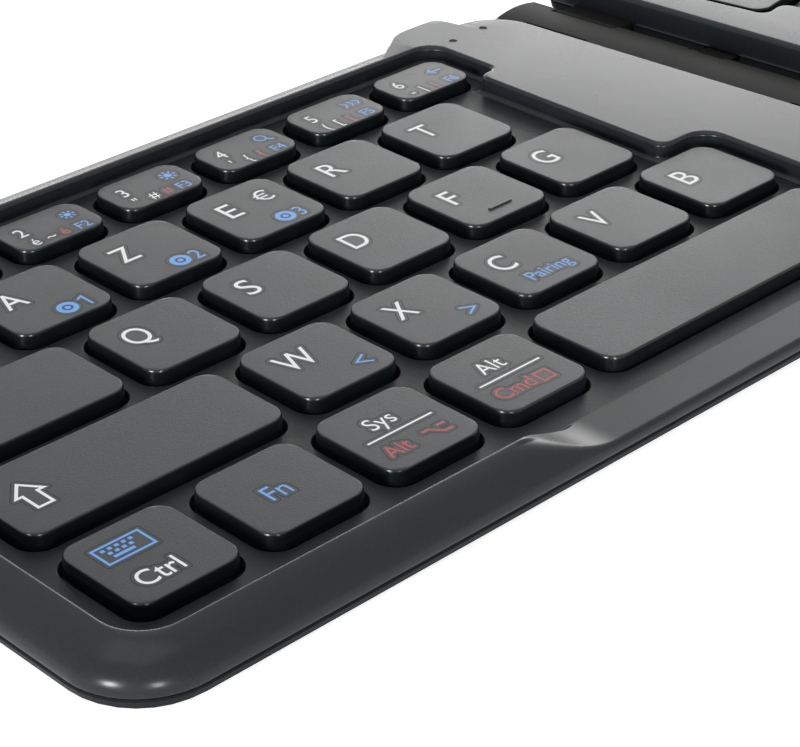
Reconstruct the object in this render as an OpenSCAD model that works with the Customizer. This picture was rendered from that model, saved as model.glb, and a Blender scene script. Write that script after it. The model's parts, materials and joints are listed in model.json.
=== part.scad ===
// Folding keyboard: two typing halves, each turned a little towards the user, on a double-hinged spine.
// Millimetres. The table is z = 0, x runs along the open keyboard and y away from the user.
// Each half is drawn in its own row frame: x along the key rows, x = 0 and y = 0 at the front-left
// corner of the first letter key, and then turned so that its hinge edge runs straight away from the user.

/* [Key layout] */
// Distance from one letter key to the next along a row
key_pitch = 19; // [17:0.1:20]
// Distance from one row of keys to the next
row_pitch = 18.85; // [17.5:0.05:20]
// Width of a letter key's top
cap_w = 15.3; // [13:0.1:16]
// Depth of a letter key's top
cap_d = 15; // [13:0.1:16]
// Radius of a key's upright corners
cap_r = 2.6; // [1:0.1:3]
// Distance from one number key to the next
num_pitch = 18.07; // [17:0.01:18.6]
// Width of a number key's top
num_w = 14.35; // [12:0.05:15]
// Depth of a number key's top
num_d = 9.2; // [7:0.1:11]
// Offset of the first number key from the first letter key, to the left
num_offset = 3.6; // [0:0.1:6]
// Offset of the home row from the row above it
home_offset = 5.9; // [3:0.1:8]
// Offset of the lower row from the top letter row
lower_offset = 15.07; // [10:0.1:17]
// Width of the tab key, which sets the left edge of every row
tab_w = 23.5; // [20:0.5:30]
// Distance from one key to the next in the front row, on the left
mod_pitch = 18.93; // [18:0.01:20]
// Left edge of the right half's top letter row, from that half's own zero
right_start = -112; // [-113:0.5:-110]

/* [Key travel and fit] */
// How far a key goes down
key_travel = 1.2; // [0.8:0.1:1.3]
// Gap round a key in its opening
key_gap = 0.55; // [0.3:0.05:0.8]
// Height of a key's top above the deck
cap_proud = 2.4; // [1.8:0.1:2.8]
// Wall of a key cap
cap_wall = 0.9; // [0.6:0.1:1.2]
// How far a cap's sides lean in from bottom to top
cap_lean = 0.15; // [0:0.05:0.3]
// Bevel round a cap's top
cap_bevel = 0.3; // [0.1:0.05:0.5]
// Depth of a cap's skirt below the deck
skirt_depth = 0.1; // [0:0.05:0.2]
// Length of the raised bar on the two finding keys
bar_l = 4.4; // [2:0.1:5]
// Height of that bar
bar_h = 0.3; // [0.1:0.05:0.5]

/* [Case] */
// Height of the feet under each half
foot_h = 0.8; // [0.5:0.1:1.5]
// Height of the deck above the underside of the case
deck_h = 3.1; // [3:0.1:4]
// Thickness of the deck
deck_t = 0.9; // [0.6:0.1:1.2]
// Thickness of the bottom case's floor
floor_t = 1; // [0.8:0.1:1.2]
// Height of the rim and shoulder above the key tops
rim_above_keys = 1; // [0.6:0.1:1.5]
// Width of the rounded rim, from its crest to the outside
rim_w = 6; // [5:0.1:8]
// Wall of the cases
wall = 1.6; // [1.2:0.1:2]
// Radius of the outer corners
corner_r = 10.5; // [9:0.5:14]
// Radius of the left half's rear corner beside the hinge
hinge_corner_r = 7; // [4:0.5:9]
// Radius of the right half's rear corner beside the hinge
right_corner_r = 2.5; // [2:0.5:9]
// Radius of the front corner beside the hinge
front_corner_r = 4; // [2:0.5:6]
// Height of the bottom case's side, up to the parting line
base_side_h = 1.9; // [1.5:0.1:2]
// Parting line between the two cases
parting = 0.15; // [0.1:0.05:0.3]
// Space between the keys and the side rim's crest
side_margin = 4.8; // [4:0.1:7]
// Space between the front keys and the front rim's crest
front_margin = 5.35; // [4.5:0.05:7]
// Space between the number keys and the rear rim
rear_margin = 3.15; // [2.5:0.05:5]
// Space between the last key of a row and the shoulder's wall
shoulder_margin = 2.8; // [2:0.1:4]
// Radius of the fillet between deck and walls
deck_fillet = 0.9; // [0.5:0.1:1.5]
// Where the front rim starts to sweep down to the deck, from the last key before the space bar
sweep_lead = -6.5; // [-10:0.5:0]
// Length of that sweep
sweep_l = 14; // [8:0.5:18]

/* [Fold] */
// Angle that each half is turned
half_tilt = 5.1; // [3:0.1:7]
// Distance from the widest part of the key tray to the fold's centre line
shoulder_w = 24.03; // [23:0.01:26]
// Distance from the centre line to each half's hinge edge
half_gap = 9.66; // [9:0.01:12]
// Height of the hinge axes above the table
axis_z = 2.6; // [2.4:0.1:2.8]
// Gap between the two rims when the keyboard is folded
fold_gap = 0.4; // [0.3:0.1:1]
// Radius of the hinge knuckles
knuckle_r = 1.3; // [1.2:0.05:1.5]
// Radius of the hinge pins
pin_r = 0.7; // [0.5:0.05:0.8]
// Running gap round a pin
pin_fit = 0.05; // [0.02:0.01:0.09]
// Gap between hinge parts side by side
hinge_gap = 0.3; // [0.2:0.05:0.5]
// Length of one knuckle
knuckle_l = 12; // [8:1:14]
// Front end of the spine, from the top letter row's front edge
spine_front = -63.5; // [-64:0.5:-60]
// Rear end of the spine, from the same place
spine_rear = 37.5; // [34:0.5:38]
// Radius of the spine's corners, seen from above
spine_corner_r = 1.5; // [1:0.5:5]
// Thickness of the spine's cover
cover_t = 0.7; // [0.5:0.1:0.9]
// Height of the spine's underside above the table
spine_z = 0.5; // [0.4:0.1:0.6]
// Rise of the cover's top over its edges
cover_crown = 0.5; // [0.2:0.1:0.8]

/* [Charging and battery] */
// Width of the charging port's housing
port_w = 16; // [14:0.5:20]
// How far that housing stands out behind the rear rim's crest
port_out = 7; // [6:0.5:8]
// Width of the charging socket
socket_w = 7.6; // [7:0.1:9]
// Height of the charging socket
socket_h = 2.6; // [2.4:0.1:2.8]
// Depth of the charging socket
socket_d = 5.6; // [5:0.1:7]
// Width of the battery
battery_w = 8; // [6:0.5:8.5]
// Length of the battery
battery_l = 36; // [26:1:37]
// Thickness of the battery
battery_h = 3.6; // [3:0.1:4]
// Thickness of the circuit board
board_t = 0.8; // [0.6:0.1:1.2]
// Radius of a status light
light_r = 0.55; // [0.4:0.05:0.8]

/* [Feet and screws] */
// Radius of a foot
foot_r = 4; // [3:0.5:4.5]
// Radius of a screw's head
head_r = 1.5; // [1.2:0.1:1.6]
// Radius of a screw's shank
shank_r = 0.7; // [0.5:0.1:0.8]
// Radius of the post that a screw holds in
post_r = 1.8; // [1.5:0.1:2]

/* [Hidden] */
$fn = 48;

plastic = [0.2, 0.21, 0.22];
cap_colour = [0.22, 0.23, 0.24];
spine_colour = [0.17, 0.17, 0.16];
rubber = [0.1, 0.1, 0.1];
steel = [0.7, 0.71, 0.73];

slack = 0.05;                 // air between a part and what it only leans on
key_space = key_pitch - cap_w;
deck_z = foot_h + deck_h;
cap_top = deck_z + cap_proud;
rim_top = cap_top + rim_above_keys;
floor_top = foot_h + floor_t;
side_top = foot_h + base_side_h;
case_low = side_top + parting;
plate_t = 0.25;
sheet_t = 0.2;
plate_top = floor_top + plate_t;
sheet_top = plate_top + sheet_t;
// a key that is pressed stays off the dome sheet
skirt_z = max(deck_z - skirt_depth, sheet_top + key_travel + 0.3);
cap_h = cap_top - skirt_z;
dome_top = cap_top - cap_wall - slack;
roof_t = 1;                   // the shoulder's top

// ---- Key rows. A key is [name, left, front, width, depth]; row 0 is the number row. ----
row_y = [row_pitch, 0, -row_pitch, -2 * row_pitch, -3 * row_pitch];
key_left = -(tab_w + key_space);
key_right = -key_left;
num_space = num_pitch - num_w;

function run(names, x, step, y, w, d) =
    [for (i = [0:len(names) - 1]) [names[i], x + i * step, y, w, d]];
function wide(name, x0, x1, y, d) = [[name, x0, y, x1 - x0, d]];
function right_of(k) = k[1] + k[3];

left_rows = [
    concat(wide("key_escape", key_left, -num_offset - num_space, row_y[0], num_d),
        run(["key_1", "key_2", "key_3", "key_4", "key_5", "key_6"],
            -num_offset, num_pitch, row_y[0], num_w, num_d)),
    concat(wide("key_tab", key_left, -key_space, row_y[1], cap_d),
        run(["key_a", "key_z", "key_e", "key_r", "key_t"], 0, key_pitch, row_y[1], cap_w, cap_d)),
    concat(wide("key_caps_lock", key_left, home_offset - key_space, row_y[2], cap_d),
        run(["key_q", "key_s", "key_d", "key_f", "key_g"],
            home_offset, key_pitch, row_y[2], cap_w, cap_d)),
    concat(wide("key_left_shift", key_left, lower_offset - key_space, row_y[3], cap_d),
        run(["key_w", "key_x", "key_c", "key_v", "key_b"],
            lower_offset, key_pitch, row_y[3], cap_w, cap_d))
];
lower_end = right_of(left_rows[3][5]);
mod_keys = run(["key_left_control", "key_function", "key_system", "key_left_alt"],
    key_left, mod_pitch, row_y[4], cap_w, cap_d);
space_x = key_left + 4 * mod_pitch;
left_keys = concat(left_rows[0], left_rows[1], left_rows[2], left_rows[3], mod_keys,
    wide("key_left_space", space_x, lower_end - 1, row_y[4], cap_d));

seven_x = right_start + 6 * num_pitch - num_offset - 5 * key_pitch;
home_x = right_start + home_offset;
lower_x = right_start + lower_offset;
arrow_d = (cap_d - 0.6) / 2;
right_rows = [
    concat(run(["7", "8", "9", "0", "bracket", "equals"],
            seven_x, num_pitch, row_y[0], num_w, num_d),
        wide("backspace", seven_x + 6 * num_pitch, key_right, row_y[0], num_d)),
    concat(run(["y", "u", "i", "o", "p", "hat"], right_start, key_pitch, row_y[1], cap_w, cap_d),
        wide("dollar", right_start + 6 * key_pitch, key_right, row_y[1], cap_d)),
    concat(run(["h", "j", "k", "l", "m", "grave"], home_x, key_pitch, row_y[2], cap_w, cap_d),
        wide("enter", home_x + 6 * key_pitch, key_right, row_y[2], cap_d)),
    concat(run(["n", "comma", "semicolon", "colon", "mark"],
            lower_x, key_pitch, row_y[3], cap_w, cap_d),
        wide("shift", lower_x + 5 * key_pitch, key_right, row_y[3], cap_d)),
    concat(wide("space", lower_x, key_right - cap_w - 3 * mod_pitch - key_space, row_y[4], cap_d),
        run(["alt", "left"], key_right - cap_w - 3 * mod_pitch, mod_pitch, row_y[4], cap_w, cap_d),
        [["down", key_right - cap_w - mod_pitch, row_y[4], cap_w, arrow_d],
         ["up", key_right - cap_w - mod_pitch, row_y[4] + cap_d - arrow_d, cap_w, arrow_d],
         ["right", key_right - cap_w, row_y[4], cap_w, cap_d]])
];
right_keys = [for (row = right_rows) each row];

// Keys of one half as they are drawn for on_half, the right half's mirrored
function half_keys(right) = right ?
    [for (k = right_keys) [k[0], -k[1] - k[3], k[2], k[3], k[4]]] : left_keys;

// ---- Outlines. A corner is [x, y, radius]; corners go round anticlockwise. ----
tray_left = key_left - side_margin;
tray_front = row_y[4] - front_margin;
tray_rear = row_y[0] + num_d + rear_margin;
step_y = [row_y[0] - (row_pitch - cap_d) / 2, row_y[2] + cap_d + (row_pitch - cap_d) / 2,
    row_y[3] + cap_d + (row_pitch - cap_d) / 2];
left_wall = [for (i = [0:3]) right_of(left_rows[i][len(left_rows[i]) - 1]) + shoulder_margin];
right_wall = [for (i = [0:3]) right_rows[i][0][1] - shoulder_margin];
centre_x = left_wall[3] + shoulder_w;
case_left = tray_left - rim_w;
case_front = tray_front - rim_w;
case_rear = tray_rear + rim_w;

// x of the hinge edge, or of a line parallel to it, at a given y of the left half's row frame
function hinge_x(y, out = half_gap) = centre_x - (out + y * sin(half_tilt)) / cos(half_tilt);
function unit(v) = v / norm(v);
function xy(c) = [c[0], c[1]];
function inward(a, b) = let (u = unit(b - a)) [-u.y, u.x];

// Corner b between a and c, with the side before it moved in by d0 and the one after it by d1
function moved(a, b, c, d0, d1) =
    let (m = inward(a, b), n = inward(b, c), t = m.x * n.y - m.y * n.x)
    b + [d0 * n.y - d1 * m.y, d1 * m.x - d0 * n.x] / t;

// Points round the fillet of radius r at corner b
function fillet(a, b, c, r, steps) =
    let (u = unit(a - b), v = unit(c - b), half = acos(u * v) / 2,
        o = b + unit(u + v) * r / sin(half),
        s = b + u * r / tan(half) - o, e = b + v * r / tan(half) - o,
        from = atan2(s.y, s.x), turn = (atan2(e.y, e.x) - from + 540) % 360 - 180)
    [for (i = [0:steps]) o + r * [cos(from + turn * i / steps), sin(from + turn * i / steps)]];

// Rounded outline, its sides moved in by the distances in d and its radii drawn in with them.
// Sides that move out keep their radii, so that short steps stay sound.
function rounded(corners, d, steps = 6) =
    let (n = len(corners),
        q = [for (i = [0:n - 1]) moved(xy(corners[(i + n - 1) % n]), xy(corners[i]),
            xy(corners[(i + 1) % n]), d[(i + n - 1) % n], d[i])])
    [for (i = [0:n - 1])
        each fillet(q[(i + n - 1) % n], q[i], q[(i + 1) % n],
            max(0.3, corners[i][2] - max(0, min(d[(i + n - 1) % n], d[i]))), steps)];
function same(d, n) = [for (i = [1:n]) d];

// The half's outside: front, hinge edge, rear, side
function half_corners(right) = [
    [case_left, case_front, corner_r],
    [hinge_x(case_front), case_front, front_corner_r],
    [hinge_x(case_rear), case_rear, right ? right_corner_r : hinge_corner_r],
    [case_left, case_rear, corner_r]
];
// Sides moved in: rim for the front, rear and outer side, hinge for the hinge edge
function half_outline(right, rim, hinge) = rounded(half_corners(right), [rim, hinge, rim, rim], 8);

// The key tray's outline, whose hinge side follows the key rows in steps. x0 is the outer side.
function step_r(a, b, r) = min(r, 0.45 * abs(a - b));
function tray_corners(w) = [
    [tray_left, tray_front, rim_w],
    [w[3], tray_front, 1],
    [w[3], step_y[2], step_r(w[3], w[2], 4)],
    [w[2], step_y[2], step_r(w[3], w[2], 2)],
    [w[2], step_y[1], step_r(w[2], w[1], 2)],
    [w[1], step_y[1], step_r(w[2], w[1], 2)],
    [w[1], step_y[0], step_r(w[1], w[0], 2)],
    [w[0], step_y[0], step_r(w[1], w[0], 2)],
    [w[0], tray_rear, 4],
    [tray_left, tray_rear, 4]
];
// The left half's home row has the same wall as its top row, so that step is left out there
left_tray = [for (i = [0:9]) if (i != 4 && i != 5) tray_corners(
    [left_wall[0], left_wall[2], left_wall[2], left_wall[3]])[i]];
right_tray = tray_corners([for (x = right_wall) -x]);
function half_tray(right) = right ? right_tray : left_tray;

// ---- Placing. The halves share one shift that puts the whole keyboard's box on the origin. ----
function to_world_y(x, y) = -(x - centre_x) * sin(half_tilt) + y * cos(half_tilt);
high_y = to_world_y(case_left + corner_r, case_rear - corner_r) + corner_r;
edge_corners = [for (c = half_corners(false)) xy(c)];
hinge_corner = moved(edge_corners[0], edge_corners[1], edge_corners[2], front_corner_r, front_corner_r);
low_y = to_world_y(hinge_corner.x, hinge_corner.y) - front_corner_r;
shift_y = -(high_y + low_y) / 2;

module in_left() {
    translate([0, shift_y, 0]) rotate([0, 0, -half_tilt]) translate([-centre_x, 0, 0]) children();
}
module in_right() {
    translate([0, shift_y, 0]) rotate([0, 0, half_tilt]) translate([centre_x, 0, 0]) children();
}
// Shapes drawn as on the left half come out mirrored on the right half
module on_half(right) {
    if (right) in_right() mirror([1, 0, 0]) children();
    else in_left() children();
}
// The fold's own frame, whose y is the spine's length
module on_fold(right) {
    translate([0, shift_y, 0]) mirror([right ? 1 : 0, 0, 0]) children();
}

// ---- General solids ----
module slab(points, z0, z1) {
    translate([0, 0, z0]) linear_extrude(z1 - z0) polygon(points);
}

// Skin through rings of equal point counts, each [z, points]
module loft(rings) {
    n = len(rings[0][1]);
    last = len(rings) - 1;
    polyhedron(
        points = [for (r = rings) for (p = r[1]) [p.x, p.y, r[0]]],
        faces = concat(
            [[for (i = [0:n - 1]) i], [for (i = [n - 1:-1:0]) last * n + i]],
            [for (k = [0:last - 1]) for (i = [0:n - 1]) let (j = (i + 1) % n)
                [k * n + i, (k + 1) * n + i, (k + 1) * n + j]],
            [for (k = [0:last - 1]) for (i = [0:n - 1]) let (j = (i + 1) % n)
                [k * n + i, (k + 1) * n + j, k * n + j]]));
}

// ---- Cases ----
rim_low = case_low + 0.6;     // the outside is upright up to here, then rounds in to the crest
crest_angle = 78;
edge_bevel = 0.5;

// Rings of the rim: an elliptical section that ends in the crest
function rim_rings(right) = concat(
    [[case_low, half_outline(right, 0.25, 0.15)], [case_low + 0.2, half_outline(right, 0, 0)]],
    [for (t = [0:13:crest_angle]) [rim_low + (rim_top - rim_low) * sin(t) / sin(crest_angle),
        half_outline(right, rim_w * (1 - cos(t)) / (1 - cos(crest_angle)),
            t > 70 ? edge_bevel : 0)]]);

function base_rings(right) = [
    [foot_h, half_outline(right, 1.9, 1.2)],
    [foot_h + 0.25, half_outline(right, 0.95, 0.5)],
    [foot_h + 0.8, half_outline(right, 0.3, 0.1)],
    [side_top - 0.2, half_outline(right, 0, 0)],
    [side_top, half_outline(right, 0.2, 0.15)]
];

// Fillet where the deck meets the walls round it
module deck_edge(corners) {
    n = len(corners);
    top = deck_z + deck_fillet;
    difference() {
        slab(rounded(corners, same(-tuck, n), 5), deck_z - deck_t / 2, top);
        loft(concat(
            [[deck_z - deck_t, rounded(corners, same(deck_fillet, n), 5)]],
            [for (t = [0, 30, 60]) [deck_z + deck_fillet * (1 - cos(t)),
                rounded(corners, same(deck_fillet * (1 - sin(t)), n), 5)]],
            [[top + 1, rounded(corners, same(0, n), 5)]]));
    }
}

// Room above the front land: the rim sweeps down to the deck in a smooth ramp
module front_sweep(end_x) {
    x0 = space_x - key_space - cap_w + sweep_lead;
    points = concat(
        [for (t = [0:0.125:1]) [x0 + sweep_l * t,
            deck_z + (rim_top + 0.05 - deck_z) * (1 + cos(180 * t)) / 2]],
        [[end_x - 0.2, deck_z], [end_x - 0.2, rim_top + 1], [x0, rim_top + 1]]);
    translate([0, tray_front + deck_fillet + 0.4, 0]) rotate([90, 0, 0])
        linear_extrude(rim_w + deck_fillet + 1.4) polygon(points);
}

// Hollow under the shoulder, for the battery and the board
module shoulder_room(tray) {
    t = wall - 0.4;
    side = half_gap + wall + 0.2;
    room = [
        [0, tray_front, 1], [hinge_x(tray_front, side), tray_front, 1],
        [hinge_x(tray_rear, side), tray_rear, 1.5], [0, tray_rear, 1]
    ];
    z0 = deck_z - deck_t - 0.3;
    translate([0, 0, z0]) linear_extrude(rim_top - roof_t - z0) difference() {
        polygon(rounded(room, same(0, 4), 3));
        polygon(rounded(tray, same(-t, len(tray)), 3));
    }
}

// Deck with an opening for each key, let into the walls round it
tuck = 0.5;
module deck(keys, corners) {
    translate([0, 0, deck_z - deck_t]) linear_extrude(deck_t) difference() {
        polygon(rounded(corners, same(-tuck, len(corners)), 5));
        for (k = keys)
            polygon(rounded(cap_corners(k[3], k[4], cap_r + key_gap, key_gap, k[1], k[2]), same(0, 4), 5));
    }
}

post_places = [
    [case_left + rim_w, case_front + rim_w],
    [case_left + rim_w, case_rear - rim_w - 0.6],
    [hinge_x(case_front + 9, half_gap + 6.6), case_front + 9],
    [hinge_x(3, half_gap + 6.6), 3]
];
module post_spots() {
    for (p = post_places) translate([p.x, p.y, 0]) children();
}

// Where the shoulder starts behind the lower row, and the middle of the charging port beside it
shoulder_x = max(left_wall[0], left_wall[2]);
port_x = shoulder_x + 0.8;
port_rear = tray_rear + port_out;
port_z = plate_top + board_t + socket_h / 2 + slack;

module port_housing() {
    corners = [
        [port_x - port_w / 2 - 6, tray_rear - 1, 0.5], [port_x + port_w / 2 + 0.8, tray_rear - 1, 0.5],
        [port_x + port_w / 2 - 1, port_rear, 1.5], [port_x - 1.5, port_rear, 5]
    ];
    loft([
        [case_low, rounded(corners, same(0.2, 4), 5)],
        [case_low + 0.3, rounded(corners, same(0, 4), 5)],
        [rim_top - 0.5, rounded(corners, same(0, 4), 5)],
        [rim_top, rounded(corners, same(0.5, 4), 5)]
    ]);
}

module top_case(right) {
    tray = half_tray(right);
    color(plastic) on_half(right) difference() {
        union() {
            difference() {
                union() {
                    loft(rim_rings(right));
                    if (!right) port_housing();
                }
                slab(rounded(tray, same(0, len(tray)), 5), case_low - 1, rim_top + 1);
                slab(half_outline(right, wall, wall - 0.4), case_low - 1, deck_z - deck_t);
                shoulder_room(tray);
            }
            deck(half_keys(right), tray);
            deck_edge(tray);
            // the posts reach down to the bottom case's floor
            for (i = [0:len(post_places) - 1])
                translate([post_places[i].x, post_places[i].y, floor_top + slack])
                    cylinder(r = post_r, h = (i < 2 ? deck_z - deck_t : rim_top - roof_t)
                        - floor_top + 0.2);
        }
        front_sweep(right ? -right_wall[3] : left_wall[3]);
        post_spots() cylinder(r = shank_r + slack, h = deck_z + 0.4);
        if (!right) {
            for (p = light_places) translate([p.x, p.y, 0])
                cylinder(r = light_r + slack, h = rim_top + 1);
            translate([port_x - socket_w / 2 - 0.3, tray_rear + 0.8, port_z - socket_h / 2 - 0.3])
                cube([socket_w + 0.6, port_out, socket_h + 0.6]);
        }
        hinge_slots();
    }
}

module bottom_case(right) {
    color(plastic) on_half(right) difference() {
        loft(base_rings(right));
        slab(half_outline(right, wall + 0.2, wall - 0.2), floor_top, side_top + 1);
        hinge_slots();
        post_spots() cylinder(r = shank_r + 0.15, h = floor_top + 1);
        post_spots() cylinder(r = head_r + 0.15, h = foot_h + 0.6);
        if (!right)
            translate([port_x - socket_w / 2 - 0.3, case_rear - 3, port_z - socket_h / 2 - 0.3])
                cube([socket_w + 0.6, 4, socket_h]);
    }
}

// ---- Hinge ----
axis_x = rim_top - axis_z + fold_gap / 2;
arm_y = [26, -26, -52];       // middle of each knuckle along the spine
leaf_in = 3.4;                // width of the leaf inside the case
leaf_t = 1.4;
back = half_gap + wall + hinge_gap;     // from the centre line to the leaf's inside part
slot_h = 2 * knuckle_r + 2 * hinge_gap;
flex_w = 6;
flex_y = 2;
flex_t = 0.15;

// Everything at the fold is drawn for the left side, in the fold's frame
module in_fold_frame() {
    translate([centre_x, 0, 0]) rotate([0, 0, half_tilt]) children();
}

module hinge_slots() {
    in_fold_frame() {
        for (y = arm_y)
            translate([-half_gap - wall - 1, y - knuckle_l / 2 - hinge_gap, axis_z - slot_h / 2])
                cube([wall + 2, knuckle_l + 2 * hinge_gap, slot_h]);
        translate([-half_gap - wall - 1, flex_y - flex_w / 2 - 0.5, axis_z - 0.6])
            cube([wall + 2, flex_w + 1, 1.2]);
    }
}

module hinge_leaf(right) {
    color(steel) on_fold(right) difference() {
        union() {
            for (y = arm_y) {
                translate([-axis_x, y + knuckle_l / 2, axis_z]) rotate([90, 0, 0])
                    cylinder(r = knuckle_r, h = knuckle_l);
                translate([-back - leaf_in, y - knuckle_l / 2, axis_z - leaf_t / 2])
                    cube([back + leaf_in - axis_x, knuckle_l, leaf_t]);
            }
            translate([-back - leaf_in, arm_y[2] - knuckle_l / 2, axis_z - leaf_t / 2])
                cube([leaf_in, arm_y[0] - arm_y[2] + knuckle_l, leaf_t]);
        }
        translate([-axis_x, spine_rear, axis_z]) rotate([90, 0, 0])
            cylinder(r = pin_r + pin_fit, h = spine_rear - spine_front);
        // room for the posts and for the flat cable
        in_fold_posts() cylinder(r = post_r + hinge_gap, h = rim_top);
        translate([-back - leaf_in - 1, flex_y - flex_w / 2 - 0.5, axis_z - flex_t / 2 - 0.25])
            cube([leaf_in + 2, flex_w + 1, leaf_t]);
    }
}
module in_fold_posts() {
    rotate([0, 0, -half_tilt]) translate([-centre_x, 0, 0]) post_spots() children();
}

spine_half = axis_x + knuckle_r;
spine_top = axis_z + knuckle_r;

module spine_notches(z0, z1) {
    for (side = [-1, 1]) for (y = arm_y)
        translate([side > 0 ? axis_x - knuckle_r - hinge_gap : -spine_half - 1,
                y - knuckle_l / 2 - hinge_gap, z0])
            cube([2 * knuckle_r + hinge_gap + 1, knuckle_l + 2 * hinge_gap, z1 - z0]);
}

// Plan of the spine
function spine_plan(half) = rounded([
    [-half, spine_front, spine_corner_r], [half, spine_front, spine_corner_r],
    [half, spine_rear, spine_corner_r], [-half, spine_rear, spine_corner_r]], same(0, 4));

module spine_base() {
    color(spine_colour) on_fold(false) difference() {
        intersection() {
            slab(spine_plan(spine_half), spine_z, spine_top);
            translate([0, spine_rear, 0]) rotate([90, 0, 0])
                linear_extrude(spine_rear - spine_front) union() {
                    for (side = [-1, 1]) translate([side * axis_x, axis_z]) circle(r = knuckle_r);
                    translate([-axis_x, spine_z]) square([2 * axis_x, spine_top - cover_t - spine_z]);
                }
        }
        spine_notches(axis_z - knuckle_r - hinge_gap, spine_top + 1);
        for (side = [-1, 1]) translate([side * axis_x, spine_rear + 1, axis_z])
            rotate([90, 0, 0]) cylinder(r = pin_r + 0.01, h = spine_rear - spine_front + 2);
        // channel for the flat cable, right across
        translate([-spine_half - 1, flex_y - flex_w / 2 - 0.5, axis_z - 0.6])
            cube([2 * spine_half + 2, flex_w + 1, spine_top]);
    }
}

module spine_cover() {
    edge = axis_x - 0.3;
    arc = [for (t = [-1:0.125:1]) [edge * t, spine_top + slack + cover_crown * (1 - t * t)]];
    color(spine_colour) on_fold(false) difference() {
        intersection() {
            slab(spine_plan(spine_half), spine_z, spine_top + 2);
            translate([0, spine_rear, 0]) rotate([90, 0, 0])
                linear_extrude(spine_rear - spine_front)
                    polygon(concat([[-edge, spine_top - cover_t], [edge, spine_top - cover_t]],
                        [for (i = [len(arc) - 1:-1:0]) arc[i]]));
        }
        spine_notches(spine_top - cover_t - 1, spine_top + 2);
        for (side = [-1, 1]) translate([side * axis_x, spine_rear + 1, axis_z])
            rotate([90, 0, 0]) cylinder(r = knuckle_r + slack, h = spine_rear - spine_front + 2);
    }
}

// Two short pins on each axis, clear of the flat cable in the middle
pin_spans = [[arm_y[0] - knuckle_l / 2 - 5, arm_y[0] + knuckle_l / 2 + 2],
    [arm_y[2] - knuckle_l / 2 - 3, arm_y[1] + knuckle_l / 2 + 5]];
module hinge_pins() {
    color(steel) on_fold(false)
        for (side = [-1, 1]) for (s = pin_spans)
            translate([side * axis_x, s[1], axis_z]) rotate([90, 0, 0])
                cylinder(r = pin_r, h = s[1] - s[0]);
}

module flex_cable() {
    reach = half_gap + wall + 3;
    color([0.55, 0.33, 0.1]) on_fold(false)
        translate([-reach, flex_y - flex_w / 2, axis_z - flex_t / 2]) cube([2 * reach, flex_w, flex_t]);
}

// ---- Inside ----
module support_plate(right) {
    tray = half_tray(right);
    color(steel) on_half(right) difference() {
        slab(rounded(tray, same(1.2, len(tray)), 3), floor_top, plate_top);
        post_spots() cylinder(r = post_r + 0.3, h = rim_top);
    }
}

dome_r = 2.4;
dome_tip_r = 1.5;
dome_wall = 0.35;
dome_profile = [[0, dome_top - sheet_top], [dome_tip_r, dome_top - sheet_top],
    [dome_tip_r + 0.15, dome_top - sheet_top - 1], [dome_r, 0.4], [dome_r + 0.4, 0],
    [dome_r - dome_wall, 0], [dome_tip_r - dome_wall, dome_top - sheet_top - 1.1],
    [0, dome_top - sheet_top - 1.1]];
link_t = 0.55;
link_w = 0.45;
link_gap = 0.15;
link_l = 9.4;
function mid(k) = [k[1] + k[3] / 2, k[2] + k[4] / 2];
// Width of a key's outer link, and the room that its inner link leaves for the dome
function link_depth(k) = k[4] - 2 * (cap_wall + 2 * link_gap);
function dome_room(k) = link_depth(k) / 2 - 2 * link_w - link_gap;
function dome_scale(k) = min(1, (dome_room(k) - link_gap) / dome_r);

module dome_sheet(right) {
    tray = half_tray(right);
    color([0.75, 0.78, 0.8]) on_half(right) {
        slab(rounded(tray, same(1.6, len(tray)), 3), plate_top, sheet_top);
        for (k = half_keys(right)) translate([mid(k).x, mid(k).y, sheet_top])
            rotate_extrude($fn = 24) polygon([for (p = dome_profile) [p.x * dome_scale(k), p.y]]);
    }
}

module frame_link(l, w) {
    difference() {
        cube([l, w, link_t], center = true);
        cube([l - 2 * link_w, w - 2 * link_w, link_t + 1], center = true);
    }
}
// Two crossed frames, the narrow one inside the wide one, which fold flat as the key goes down
module scissor(k) {
    w = link_depth(k);
    l = min(link_l, k[3] - 2 * (cap_wall + 1));
    rise = dome_top - sheet_top - link_t - 3 * slack;
    angle = asin(rise / l);
    translate([mid(k).x, mid(k).y, sheet_top + (dome_top - sheet_top) / 2]) {
        rotate([0, angle, 0]) frame_link(l, w);
        rotate([0, -angle, 0]) frame_link(l, w - 2 * (link_w + link_gap));
    }
}
module scissors(right) {
    color([0.85, 0.85, 0.83]) on_half(right) for (k = half_keys(right)) scissor(k);
}

// The battery starts behind the front screw post
battery_front = to_world_y(post_places[2].x, post_places[2].y) + post_r + 0.5;
module battery() {
    color([0.7, 0.72, 0.75]) on_fold(false)
        translate([-back - leaf_in - 0.35 - battery_w, battery_front, 0])
            slab(rounded([[0, 0, 1], [battery_w, 0, 1], [battery_w, battery_l, 1], [0, battery_l, 1]],
                same(0, 4), 3), floor_top, floor_top + battery_h);
}

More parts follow.
